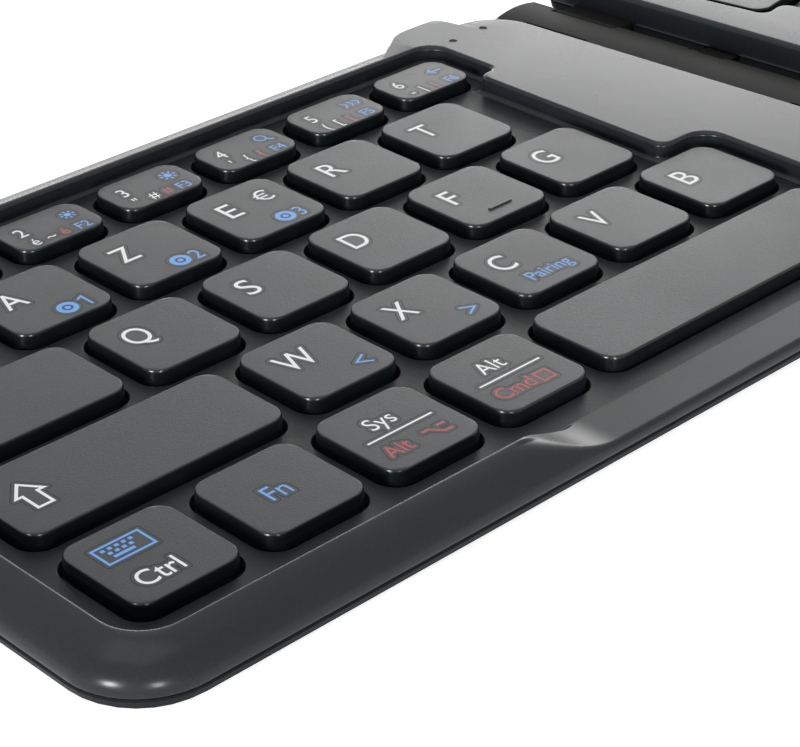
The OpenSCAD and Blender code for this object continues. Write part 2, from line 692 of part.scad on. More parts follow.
// The board has an arm under the status lights, a connector and a chip
board_w = 8;
board_x = shoulder_x + 1;
board_arm = 6;
board_front = step_y[1] + 4;
board_rear = case_rear - wall - 0.4;
board_top = plate_top + board_t;
plug_w = 6;
plug_l = 8;
chip_w = 5;
chip_gap = 2;
light_row = tray_rear - 1.5;
light_places = [[port_x + 2.4, light_row - 0.4],
    [hinge_x(light_row, back + leaf_in + light_r + 0.55), light_row]];
module main_board() {
    arm_l = light_places[1].x + light_r - board_x;
    color([0.1, 0.35, 0.2]) in_left() {
        translate([board_x, board_front, floor_top])
            cube([board_w, board_rear - board_front, board_top - floor_top]);
        translate([board_x, light_places[0].y - board_arm / 2, floor_top])
            cube([arm_l, board_arm, board_top - floor_top]);
        translate([board_x + (board_w - chip_w) / 2, board_front + plug_l + 2 * chip_gap, board_top])
            cube([chip_w, chip_w, 0.9]);
        translate([board_x + (board_w - plug_w) / 2, board_front + chip_gap, board_top])
            cube([plug_w, plug_l, 1.4]);
    }
}

module charging_socket() {
    z = port_z - socket_h / 2;
    color(steel) in_left() translate([port_x - socket_w / 2, port_rear - socket_d, z]) difference() {
        cube([socket_w, socket_d, socket_h]);
        translate([0.3, 1, 0.3]) cube([socket_w - 0.6, socket_d, socket_h - 0.6]);
    }
}

module status_lights() {
    color([0.9, 0.95, 0.9]) in_left() for (p = light_places)
        translate([p.x, p.y, board_top]) cylinder(r = light_r, h = rim_top - board_top - 0.1);
}

foot_places = [[tray_left + 10, tray_front + 8], [tray_left + 10, tray_rear - 8],
    [left_wall[2] - 6, tray_front + 8], [left_wall[2] - 6, tray_rear - 8]];
module feet(right) {
    color(rubber) on_half(right) for (p = foot_places) translate([p.x, p.y, 0])
        cylinder(r = foot_r, h = foot_h);
}

module screws(right) {
    color(steel) on_half(right) post_spots() {
        translate([0, 0, foot_h + 0.1]) cylinder(r = head_r, h = 0.5);
        translate([0, 0, foot_h + 0.1]) cylinder(r = shank_r, h = deck_z - foot_h);
    }
}

// ---- Keys ----
function cap_corners(w, d, r, grow = 0, x = 0, y = 0) = [
    [x - grow, y - grow, r], [x + w + grow, y - grow, r],
    [x + w + grow, y + d + grow, r], [x - grow, y + d + grow, r]];

// Side view of a cap: leaning sides and a bevelled top
function cap_profile(w) = [[0, 0], [w, 0], [w - cap_lean, cap_h - cap_bevel],
    [w - cap_lean - cap_bevel, cap_h], [cap_lean + cap_bevel, cap_h], [cap_lean, cap_h - cap_bevel]];

module key_cap(k) {
    w = k[3];
    d = k[4];
    translate([k[1], k[2], skirt_z]) difference() {
        intersection() {
            slab(rounded(cap_corners(w, d, cap_r), same(0, 4), 5), 0, cap_h);
            translate([0, d + 1, 0]) rotate([90, 0, 0]) linear_extrude(d + 2) polygon(cap_profile(w));
            translate([-1, 0, 0]) rotate([90, 0, 90]) linear_extrude(w + 2) polygon(cap_profile(d));
        }
        slab(rounded(cap_corners(w, d, cap_r), same(cap_wall, 4), 3), -1, cap_h - cap_wall);
    }
    if (k[0] == "key_f" || k[0] == "j")
        translate([k[1] + (w - bar_l) / 2, k[2] + 2.6, cap_top - slack]) cube([bar_l, 0.5, bar_h + slack]);
}

module left_key(k) {
    color(cap_colour) in_left() key_cap(k);
}
module right_row(i) {
    color(cap_colour) in_right() for (k = right_rows[i]) key_cap(k);
}

top_case(false);  // left_top_case
bottom_case(false);  // left_bottom_case
hinge_leaf(false);  // left_hinge_leaf
support_plate(false);  // left_support_plate
dome_sheet(false);  // left_dome_sheet
scissors(false);  // left_scissors
battery();
main_board();
charging_socket();
status_lights();
feet(false);  // left_feet
screws(false);  // left_screws
for (k = left_keys) left_key(k);
spine_base();
spine_cover();
hinge_pins();
flex_cable();
top_case(true);  // right_top_case
bottom_case(true);  // right_bottom_case
hinge_leaf(true);  // right_hinge_leaf
support_plate(true);  // right_support_plate
dome_sheet(true);  // right_dome_sheet
scissors(true);  // right_scissors
feet(true);  // right_feet
screws(true);  // right_screws
right_row(0);  // right_number_row
right_row(1);  // right_top_row
right_row(2);  // right_home_row
right_row(3);  // right_lower_row
right_row(4);  // right_front_row
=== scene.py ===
"""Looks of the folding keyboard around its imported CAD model.

The top shells, key caps, domes with their links, print and flat cable are built in mesh code. The other nodes
keep their own shape and get softer edges.

Lengths are in mm in the row frame of a half: x along the key rows, y to the rear, from the front left corner of
the A key's cap. The place functions turn them into the shared frame.
"""
import json
import math

import bmesh
import bpy
import numpy as np
from mathutils import Matrix, Vector
from mathutils.geometry import delaunay_2d_cdt


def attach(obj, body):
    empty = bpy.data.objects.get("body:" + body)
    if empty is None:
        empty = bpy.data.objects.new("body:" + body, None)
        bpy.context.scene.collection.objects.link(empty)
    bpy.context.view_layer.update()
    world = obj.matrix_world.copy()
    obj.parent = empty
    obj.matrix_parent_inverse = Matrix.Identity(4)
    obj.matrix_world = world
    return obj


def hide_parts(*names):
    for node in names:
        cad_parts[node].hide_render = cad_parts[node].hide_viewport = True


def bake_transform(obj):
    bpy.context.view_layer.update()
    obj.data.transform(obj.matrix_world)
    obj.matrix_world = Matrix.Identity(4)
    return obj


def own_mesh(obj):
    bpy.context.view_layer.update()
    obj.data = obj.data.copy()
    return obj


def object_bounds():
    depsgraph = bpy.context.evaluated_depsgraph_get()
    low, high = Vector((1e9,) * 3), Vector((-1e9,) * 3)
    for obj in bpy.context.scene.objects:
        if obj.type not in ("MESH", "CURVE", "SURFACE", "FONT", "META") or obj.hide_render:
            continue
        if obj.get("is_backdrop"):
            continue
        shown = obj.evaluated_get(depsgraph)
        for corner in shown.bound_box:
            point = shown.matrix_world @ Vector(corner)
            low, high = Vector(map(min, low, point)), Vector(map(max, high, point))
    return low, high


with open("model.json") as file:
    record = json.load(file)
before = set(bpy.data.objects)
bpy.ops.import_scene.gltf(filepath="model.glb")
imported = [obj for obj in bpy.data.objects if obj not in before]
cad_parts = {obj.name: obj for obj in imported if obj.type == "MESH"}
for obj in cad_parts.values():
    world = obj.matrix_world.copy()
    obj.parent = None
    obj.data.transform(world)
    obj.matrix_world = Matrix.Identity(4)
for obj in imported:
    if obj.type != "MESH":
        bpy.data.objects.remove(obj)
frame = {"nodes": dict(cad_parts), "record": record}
cad_box = [list(v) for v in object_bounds()]
scene = bpy.context.scene
nodes = frame["nodes"]
MM = 0.001

# ---- sizes
# These are the CAD model's, except that the deck lies 0.5 mm higher here, as the photograph shows it.
PITCH, ROW = 19.0, 18.85  # from letter key to letter key, from row to row
CAP_W, CAP_D, CAP_R = 15.3, 15.0, 2.6  # a letter cap and its corner radius
NUM_P, NUM_W, NUM_D, NUM_OFF = 18.07, 14.35, 9.2, 3.6  # the same for the number row, and its offset
SPACE = PITCH - CAP_W
KEY_LEFT, KEY_RIGHT = -27.2, 27.2  # outer ends of the left and the right rows
HOME, LOWER = 5.9, 15.07  # offsets of the third and the fourth row
MOD_P = 18.93  # from key to key in the front row
RIGHT_START = -112.0  # the right half's second row starts here
DECK_Z, CAP_TOP, RIM_TOP = 4.4, 6.3, 7.3
DECK_T, SKIRT_Z, CASE_LOW, RIM_LOW = 1.4, 3.8, 2.85, 3.45
SHEET_TOP, DOME_TOP = 2.25, 5.35
RIM_W, WALL, FILLET = 6.0, 1.6, 0.9
CORNER_R, FOLD_R = 10.5, 4.0  # a half's outer corners, and its front corner at the fold
TRAY_SIDE, TRAY_EDGE, TRAY_BACK, STEP_GAP = 4.8, 5.35, 3.15, 2.8  # from the keys to the tray's walls
TILT_DEG = 5.1  # each half is turned by this against the spine
TILT = math.radians(TILT_DEG)
CENTRE = 133.2  # the spine's middle
HALF_GAP = 9.66  # from there to the edge of a half
AXIS_X, AXIS_Z = 4.9, 2.6  # the folds' axes, from the spine's middle
ROW_Y = [ROW, 0.0, -ROW, -2 * ROW, -3 * ROW]


def run(names, x, step, y, w, d):
    """Equal keys in a row, each as its name, x, y, width and depth"""
    return [(n, x + i * step, y, w, d) for i, n in enumerate(names)]


def wide(name, x0, x1, y, d):
    return [(name, x0, y, x1 - x0, d)]


def keys_named(letters):
    return ["key_" + c for c in letters]


LEFT_ROWS = [
    wide("key_escape", KEY_LEFT, -NUM_OFF - (NUM_P - NUM_W), ROW_Y[0], NUM_D)
    + run(keys_named("123456"), -NUM_OFF, NUM_P, ROW_Y[0], NUM_W, NUM_D),
    wide("key_tab", KEY_LEFT, -SPACE, ROW_Y[1], CAP_D)
    + run(keys_named("azert"), 0, PITCH, ROW_Y[1], CAP_W, CAP_D),
    wide("key_caps_lock", KEY_LEFT, HOME - SPACE, ROW_Y[2], CAP_D)
    + run(keys_named("qsdfg"), HOME, PITCH, ROW_Y[2], CAP_W, CAP_D),
    wide("key_left_shift", KEY_LEFT, LOWER - SPACE, ROW_Y[3], CAP_D)
    + run(keys_named("wxcvb"), LOWER, PITCH, ROW_Y[3], CAP_W, CAP_D),
]
SPACE_X = KEY_LEFT + 4 * MOD_P
LEFT_END = LEFT_ROWS[3][-1][1] + CAP_W
LEFT_ROWS.append(
    run(["key_left_control", "key_function", "key_system", "key_left_alt"],
        KEY_LEFT, MOD_P, ROW_Y[4], CAP_W, CAP_D)
    + wide("key_left_space", SPACE_X, LEFT_END - 1, ROW_Y[4], CAP_D))
SEVEN = RIGHT_START + 6 * NUM_P - NUM_OFF - 5 * PITCH
HOME_X, LOWER_X = RIGHT_START + HOME, RIGHT_START + LOWER
ARROW_D = (CAP_D - 0.6) / 2
MODS = KEY_RIGHT - CAP_W
RIGHT_ROWS = [
    run([*"7890", "bracket", "equals"], SEVEN, NUM_P, ROW_Y[0], NUM_W, NUM_D)
    + wide("backspace", SEVEN + 6 * NUM_P, KEY_RIGHT, ROW_Y[0], NUM_D),
    run([*"yuiop", "hat"], RIGHT_START, PITCH, ROW_Y[1], CAP_W, CAP_D)
    + wide("dollar", RIGHT_START + 6 * PITCH, KEY_RIGHT, ROW_Y[1], CAP_D),
    run([*"hjklm", "grave"], HOME_X, PITCH, ROW_Y[2], CAP_W, CAP_D)
    + wide("enter", HOME_X + 6 * PITCH, KEY_RIGHT, ROW_Y[2], CAP_D),
    run(["n", "comma", "semicolon", "colon", "mark"], LOWER_X, PITCH, ROW_Y[3], CAP_W, CAP_D)
    + wide("shift", LOWER_X + 5 * PITCH, KEY_RIGHT, ROW_Y[3], CAP_D),
    wide("space", LOWER_X, MODS - 3 * MOD_P - SPACE, ROW_Y[4], CAP_D)
    + run(["alt", "left"], MODS - 3 * MOD_P, MOD_P, ROW_Y[4], CAP_W, CAP_D)
    + [("down", MODS - MOD_P, ROW_Y[4], CAP_W, ARROW_D),
       ("up", MODS - MOD_P, ROW_Y[4] + CAP_D - ARROW_D, CAP_W, ARROW_D),
       ("right", MODS, ROW_Y[4], CAP_W, CAP_D)],
]
LEFT_KEYS = [k for row in LEFT_ROWS for k in row]

TRAY_LEFT, TRAY_FRONT, TRAY_REAR = KEY_LEFT - TRAY_SIDE, ROW_Y[4] - TRAY_EDGE, ROW_Y[0] + NUM_D + TRAY_BACK
CASE_LEFT, CASE_FRONT, CASE_REAR = TRAY_LEFT - RIM_W, TRAY_FRONT - RIM_W, TRAY_REAR + RIM_W
HALF_SPACE = (ROW - CAP_D) / 2
STEP_Y = [ROW_Y[0] - HALF_SPACE, ROW_Y[2] + CAP_D + HALF_SPACE, ROW_Y[3] + CAP_D + HALF_SPACE]
LEFT_WALL = [row[-1][1] + row[-1][3] + STEP_GAP for row in LEFT_ROWS[:4]]
RIGHT_WALL = [-(row[0][1] - STEP_GAP) for row in RIGHT_ROWS[:4]]
PORT_X = LEFT_WALL[0] + 0.8


# ---- outlines
def hinge_x(y, out=HALF_GAP):
    """x, at this y, of the line that runs along the spine at the distance out from its middle"""
    return CENTRE - (out + y * math.sin(TILT)) / math.cos(TILT)


def inward(a, b):
    """Unit vector to the left of the way from a to b"""
    u = (b - a).normalized()
    return Vector((-u.y, u.x))


def moved(a, b, c, d0, d1):
    """The corner b after the side from a to b moves in by d0 and the side from b to c by d1"""
    m, n = inward(a, b), inward(b, c)
    t = m.x * n.y - m.y * n.x
    return b + Vector((d0 * n.y - d1 * m.y, d1 * m.x - d0 * n.x)) / t


def fillet(a, b, c, r, steps):
    """Points of the arc that rounds the corner b"""
    u, v = (a - b).normalized(), (c - b).normalized()
    half = math.acos(max(-1, min(1, u.dot(v)))) / 2
    o = b + (u + v).normalized() * r / math.sin(half)
    s, e = b + u * r / math.tan(half) - o, b + v * r / math.tan(half) - o
    start = math.atan2(s.y, s.x)
    turn = (math.atan2(e.y, e.x) - start + 3 * math.pi) % (2 * math.pi) - math.pi
    return [o + r * Vector((math.cos(start + turn * i / steps), math.sin(start + turn * i / steps)))
            for i in range(steps + 1)]


def rounded(corners, d, steps=8, shrink=1.0, extra=None):
    """Rounded outline with its sides moved in by d. extra maps a side's number to x values to add along it."""
    n = len(corners)
    d = [d] * n if not isinstance(d, (list, tuple)) else d
    p = [Vector(c[:2]) for c in corners]
    q = [moved(p[i - 1], p[i], p[(i + 1) % n], d[i - 1], d[i]) for i in range(n)]
    out = []
    for i in range(n):
        r = max(0.2, corners[i][2] - max(0, min(d[i - 1], d[i])) * shrink)
        out += fillet(q[i - 1], q[i], q[(i + 1) % n], r, steps)
        if extra and i in extra:
            nxt = q[(i + 1) % n]
            for x in extra[i]:
                t = (x - q[i].x) / (nxt.x - q[i].x)
                out.append(q[i] + (nxt - q[i]) * t)
    return out


def half_corners(right):
    """A half's outline as x, y and radius of its corners, drawn as on the left"""
    return [(CASE_LEFT, CASE_FRONT, CORNER_R), (hinge_x(CASE_FRONT), CASE_FRONT, FOLD_R),
            (hinge_x(CASE_REAR), CASE_REAR, 2.5 if right else 7.0), (CASE_LEFT, CASE_REAR, CORNER_R)]


def step_r(a, b, r):
    """Radius at a step in the tray's wall, never over half of the step"""
    return min(r, 0.45 * abs(a - b))


def tray_corners(w):
    """The tray's outline round the staggered rows. w holds its wall's x beside each of the four rear rows."""
    return [(TRAY_LEFT, TRAY_FRONT, 6.0), (w[3], TRAY_FRONT, 0.3),
            (w[3], STEP_Y[2], step_r(w[3], w[2], 4)), (w[2], STEP_Y[2], step_r(w[3], w[2], 2)),
            (w[2], STEP_Y[1], step_r(w[2], w[1], 2)), (w[1], STEP_Y[1], step_r(w[2], w[1], 2)),
            (w[1], STEP_Y[0], step_r(w[1], w[0], 2)), (w[0], STEP_Y[0], step_r(w[1], w[0], 2)),
            (w[0], TRAY_REAR, 4.0), (TRAY_LEFT, TRAY_REAR, 4.0)]


LIGHTS = [(PORT_X + 2.4, TRAY_REAR - 1.9), (hinge_x(TRAY_REAR - 1.5, HALF_GAP + WALL + 4.8), TRAY_REAR - 1.5)]
# on the left, the second and the third row share one wall, so the step between them is left out
LEFT_TRAY = [c for i, c in enumerate(tray_corners([LEFT_WALL[0], LEFT_WALL[2], LEFT_WALL[2], LEFT_WALL[3]]))
             if i not in (4, 5)]
RIGHT_TRAY = tray_corners(RIGHT_WALL)


def turned_y(x, y):
    """y in the shared frame, before the halves are shifted to its middle"""
    return -(x - CENTRE) * math.sin(TILT) + y * math.cos(TILT)


corner = [Vector(c[:2]) for c in half_corners(False)]
inner = moved(corner[0], corner[1], corner[2], FOLD_R, FOLD_R)
rearmost = turned_y(CASE_LEFT + CORNER_R, CASE_REAR - CORNER_R) + CORNER_R
SHIFT = -(rearmost + turned_y(inner.x, inner.y) - FOLD_R) / 2


def place_left(x, y, z):
    return (x - CENTRE) * math.cos(TILT) + y * math.sin(TILT), turned_y(x, y) + SHIFT, z


def place_right(x, y, z):
    return ((x + CENTRE) * math.cos(TILT) - y * math.sin(TILT),
            (x + CENTRE) * math.sin(TILT) + y * math.cos(TILT) + SHIFT, z)


def place_mirrored(x, y, z):
    """For a shape of the right half that is drawn as on the left"""
    wx, wy, wz = place_left(x, y, z)
    return -wx, wy, wz


def place_fold(x, y, z):
    """For what runs across the spine"""
    return x, y + SHIFT, z


# what moves together: body, its keys, their place function and the half that carries them
GROUPS = ([(key[0], [key], place_left, "left_half") for key in LEFT_KEYS]
          + [("right_" + n + "_row", row, place_right, "right_half")
             for n, row in zip(("number", "top", "home", "lower", "front"), RIGHT_ROWS)])


# ---- mesh building
class Shape:
    """Points, faces and their materials, collected before they become one mesh"""

    def __init__(self):
        self.v, self.f, self.m = [], [], []

    def ring(self, points, z):
        """Adds points at one height, or at a list of heights, and gives their numbers"""
        first = len(self.v)
        for i, p in enumerate(points):
            self.v.append([p[0], p[1], z[i] if isinstance(z, list) else z])
        return list(range(first, len(self.v)))

    def face(self, indices, mat=0):
        self.f.append(list(indices))
        self.m.append(mat)

    def strip(self, a, b, mat=0, skip=None):
        """Quads from ring a up to ring b, whose points go anticlockwise, seen from outside"""
        n = len(a)
        for i in range(n):
            j = (i + 1) % n
            quad = [a[i], a[j], b[j], b[i]]
            if skip and skip([self.v[k] for k in quad]):
                continue
            self.face(quad, mat)

    def fill(self, loops, mat=0, up=True):
        """Triangles between the first loop and the others, which are holes in it"""
        ids = [i for loop in loops for i in loop]
        pts = [Vector((self.v[i][0], self.v[i][1])) for i in ids]
        edges, first = [], 0
        for loop in loops:
            n = len(loop)
            edges += [(first + i, first + (i + 1) % n) for i in range(n)]
            first += n
        verts, _, faces, origin, _, _ = delaunay_2d_cdt(pts, edges, [], 0, 1e-7)
        index = []
        for k, v in enumerate(verts):
            if origin[k]:
                index.append(ids[origin[k][0]])
            else:
                self.v.append([v.x, v.y, self.v[ids[0]][2]])
                index.append(len(self.v) - 1)
        c = np.array([[sum(verts[i].x for i in f) / 3, sum(verts[i].y for i in f) / 3] for f in faces])
        a = np.array([pts[e[0]][:] for e in edges])
        b = np.array([pts[e[1]][:] for e in edges])
        inside = np.zeros(len(c), bool)
        for k in range(len(a)):
            cross = (a[k, 1] > c[:, 1]) != (b[k, 1] > c[:, 1])
            if not cross.any():
                continue
            x = a[k, 0] + (c[:, 1] - a[k, 1]) / (b[k, 1] - a[k, 1] + 1e-30) * (b[k, 0] - a[k, 0])
            inside ^= cross & (c[:, 0] < x)
        for f, ok in zip(faces, inside):
            if ok:
                tri = [index[i] for i in f]
                p, q, r = (self.v[i] for i in tri)
                area = (q[0] - p[0]) * (r[1] - p[1]) - (q[1] - p[1]) * (r[0] - p[0])
                if abs(area) < 1e-9:
                    continue
                if (area > 0) != up:
                    tri.reverse()
                self.face(tri, mat)

    def piece(self, name, materials, place, mirrored=False, sharp=32.0):
        """The mesh as an object in the shared frame. Edges turn sharp over this angle, in degrees."""
        mesh = bpy.data.meshes.new(name)
        verts = [Vector(place(*v)) * MM for v in self.v]
        faces = [list(reversed(f)) for f in self.f] if mirrored else self.f
        mesh.from_pydata(verts, [], faces)
        for m in materials:
            mesh.materials.append(m)
        mesh.polygons.foreach_set("material_index", self.m)
        mesh.validate()
        obj = bpy.data.objects.new(name, mesh)
        scene.collection.objects.link(obj)
        shade_smooth(mesh, sharp)
        weigh_normals(obj, "FACE_AREA_WITH_ANGLE")
        return obj


def shade_smooth(mesh, sharp):
    mesh.polygons.foreach_set("use_smooth", [True] * len(mesh.polygons))
    mesh.set_sharp_from_angle(angle=math.radians(sharp))


def weigh_normals(obj, mode):
    """Keeps flat faces flat beside their roundings"""
    mod = obj.modifiers.new("normals", "WEIGHTED_NORMAL")
    mod.mode = mode
    mod.weight = 80
    mod.keep_sharp = True


def circle(x, y, r, n=24):
    turns = [2 * math.pi * i / n for i in range(n)]
    return [Vector((x + r * math.cos(t), y + r * math.sin(t))) for t in turns]


def cap_outline(x, y, w, d, grow, r):
    return rounded([(x - grow, y - grow, r), (x + w + grow, y - grow, r),
                    (x + w + grow, y + d + grow, r), (x - grow, y + d + grow, r)], 0)


# ---- materials
def start_material(name):
    mat = bpy.data.materials.new(name)
    mat.use_nodes = True
    nt = mat.node_tree
    return mat, nt, nt.nodes["Principled BSDF"], nt.nodes.new("ShaderNodeTexCoord").outputs["Object"]


def put(node, values):
    for socket, value in values.items():
        node.inputs[socket].default_value = value


def noise(nt, vector, scale, detail, rough=0.5):
    tex = nt.nodes.new("ShaderNodeTexNoise")
    put(tex, {"Scale": scale, "Detail": detail, "Roughness": rough})
    nt.links.new(vector, tex.inputs["Vector"])
    return tex.outputs["Fac"]


def vary_colour(nt, bsdf, factor, low, high, start=0.0, end=1.0):
    ramp = nt.nodes.new("ShaderNodeValToRGB")
    for stop, position, colour in zip(ramp.color_ramp.elements, (start, end), (low, high)):
        stop.position = position
        stop.color = (*colour, 1)
    nt.links.new(factor, ramp.inputs["Fac"])
    nt.links.new(ramp.outputs["Color"], bsdf.inputs["Base Color"])


def vary_gloss(nt, bsdf, factor, rough, spread, start=0.0, end=1.0):
    span = nt.nodes.new("ShaderNodeMapRange")
    put(span, {"From Min": start, "From Max": end, "To Min": rough - spread, "To Max": rough + spread})
    nt.links.new(factor, span.inputs["Value"])
    nt.links.new(span.outputs["Result"], bsdf.inputs["Roughness"])


def plastic(name, colour, rough, grain=0.25, bump=0.35, spread=0.12, tint=None, specular=0.3):
    """Moulded plastic: a spark-eroded grain, grain mm wide, with colour and gloss that vary a little"""
    mat, nt, bsdf, vector = start_material(name)
    fine = noise(nt, vector, 1 / (grain * MM), 2.5, 0.6)
    broad = noise(nt, vector, 60, 3)
    low = [c * (1 - spread) for c in colour]
    high = [min(1, c * (1 + spread)) for c in (tint or colour)]
    vary_colour(nt, bsdf, fine, low, high, 0.3, 0.7)
    vary_gloss(nt, bsdf, broad, rough, 0.03, 0.3, 0.7)
    relief = nt.nodes.new("ShaderNodeBump")
    put(relief, {"Strength": bump, "Distance": 0.06 * MM})
    nt.links.new(fine, relief.inputs["Height"])
    nt.links.new(relief.outputs["Normal"], bsdf.inputs["Normal"])
    put(bsdf, {"Specular IOR Level": specular})
    return mat


def metal(name, colour, rough):
    """Rolled or turned metal, with fine lines along one direction"""
    mat, nt, bsdf, vector = start_material(name)
    put(bsdf, {"Metallic": 1})
    stretch = nt.nodes.new("ShaderNodeMapping")
    put(stretch, {"Scale": (200, 6000, 6000)})
    nt.links.new(vector, stretch.inputs["Vector"])
    lines = noise(nt, stretch.outputs["Vector"], 1, 2)
    vary_colour(nt, bsdf, lines, [c * 0.85 for c in colour], colour)
    vary_gloss(nt, bsdf, lines, rough, 0.06)
    return mat


CASE = plastic("case_plastic", (0.0122, 0.0142, 0.0168), 0.27, grain=0.45, bump=0.03, specular=0.22)
DECK = plastic("deck_plastic", (0.012, 0.0135, 0.015), 0.42, grain=0.3, bump=0.6, specular=0.2)
CAP = plastic("cap_plastic", (0.023, 0.025, 0.027), 0.37, grain=0.22, bump=0.5, spread=0.2)
BASE = plastic("base_plastic", (0.009, 0.0105, 0.012), 0.5, grain=0.5, bump=0.3, specular=0.07)
# the caps' sides and the lower part of their rounding: the cap plastic made darker, as painted shade
CAP_SIDE_SHADE = plastic("cap_side_painted_shade", (0.006, 0.008, 0.009), 0.24, grain=0.3, bump=0.05)
SPINE = plastic("spine_plastic", (0.030, 0.030, 0.028), 0.6, grain=0.5, bump=0.2, specular=0.08)
RUBBER = plastic("foot_rubber", (0.018, 0.018, 0.018), 0.75, grain=0.4, bump=0.6)
SILICONE = plastic("dome_silicone", (0.09, 0.095, 0.095), 0.5, grain=0.5, bump=0.2, spread=0.04)
NYLON = plastic("link_nylon", (0.014, 0.014, 0.014), 0.5, grain=0.4, bump=0.2, spread=0.04)
POUCH = plastic("battery_pouch", (0.55, 0.57, 0.6), 0.35, grain=1.2, bump=0.6, spread=0.05)
BOARD = plastic("board_mask", (0.01, 0.07, 0.03), 0.35, grain=0.8, bump=0.2, tint=(0.02, 0.11, 0.05))
PIPE = plastic("light_pipe", (0.05, 0.052, 0.05), 0.5, grain=0.5, bump=0.05, spread=0.03, specular=0.05)
FLEX = plastic("flat_cable", (0.012, 0.011, 0.010), 0.35, grain=0.6, bump=0.1)
FILM = plastic("switch_film", (0.012, 0.013, 0.014), 0.5, grain=0.6, bump=0.1)
# black-coated steel of the hinge leaves and pins, darkened further and dulled as painted shade in the fold's
# gap
SHADED_COATING = plastic("coated_steel_painted_shade", (0.006, 0.006, 0.006), 0.6, grain=0.4, bump=0.1, specular=0.1)
WHITE = plastic("ink_white", (0.86, 0.87, 0.87), 0.45, grain=0.2, bump=0.1, spread=0.03)
BLUE = plastic("ink_blue", (0.14, 0.38, 0.83), 0.45, grain=0.2, bump=0.1, spread=0.05)
RED = plastic("ink_red", (0.47, 0.055, 0.065), 0.45, grain=0.2, bump=0.1, spread=0.05)
# near-black lines for the edge of the clear lacquer round the print: painted shade, as the lacquer itself is
# not drawn
LACQUER_EDGE_SHADE = plastic("lacquer_edge_painted_shade", (0.010, 0.011, 0.012), 0.6, grain=0.3, bump=0.1, specular=0.12)
# near-black plastic, painted shade in the key openings, the light holes, the charging port and the shell's
# inside
PAINTED_SHADE = plastic("painted_shade_hollow", (0.006, 0.006, 0.007), 0.7, grain=0.3, bump=0.2)
STEEL = metal("rolled_steel", (0.52, 0.53, 0.55), 0.34)
NICKEL = metal("nickel", (0.62, 0.61, 0.58), 0.25)

# ---- cases
SWEEP_X, SWEEP_L = 20.2, 17.2  # where the front rim starts to fall, and over what length
RIM_TURN, RIM_RINGS = 78.0, 26  # the rim's rounding ends this many degrees round, after as many rings
TRAY_R = 0.6  # rounding of the tray's upper edge
# the charging port's opening: half its width, its back, its roof, and the ends of its left and right wall
PORT_HALF, PORT_BACK, PORT_ROOF, PORT_ENDS = 4.3, 33.2, 5.75, (36.2, 37.9)
PORT_REACH = [(89.0, 30.0), (90.7, 30.2), (99.5, 35.9), (101.8, 37.5), (103.5, 38.05), (105.5, 38.2),
              (110.2, 38.2), (111.2, 38.0), (111.8, 37.4), (112.15, 36.3), (113.5, 30.2), (115, 30)]
OPENING = ((0.86, 0), (0.76, 0.05), (0.72, 0.14), (0.72, DECK_T))  # gap round a key, and depth below the deck


def sweep_height(x, end_x):
    """Height that the front rim keeps at x: full at the outside, down to the deck beside the space bar"""
    if x > end_x - 0.4:
        return RIM_TOP + 9
    if x > end_x - 1.2:
        return DECK_Z + (RIM_TOP + 0.4 - DECK_Z) * (x - end_x + 1.2) / 0.8
    t = (x - SWEEP_X) / SWEEP_L
    if t <= 0:
        return RIM_TOP + 0.9 + 40 * t * t
    if t >= 1:
        return DECK_Z
    return DECK_Z + (RIM_TOP + 0.9 - DECK_Z) * (1 + math.cos(math.pi * t)) / 2


def blunt_min(a, b, k):
    """The lower of a and b, rounded off where they differ by less than k"""
    h = max(k - abs(a - b), 0) / k
    return min(a, b) - h * h * k / 4


def port_reach(x):
    """Rear edge of the charging port's housing at x, far in front where there is none"""
    for (x0, y0), (x1, y1) in zip(PORT_REACH, PORT_REACH[1:]):
        if x0 <= x <= x1:
            return y0 + (y1 - y0) * (x - x0) / (x1 - x0)
    return -1e3


def steps_between(a, b, step):
    """Values from a to b, about step apart"""
    n = max(1, round(abs(b - a) / step))
    return [a + (b - a) * i / n for i in range(n + 1)]


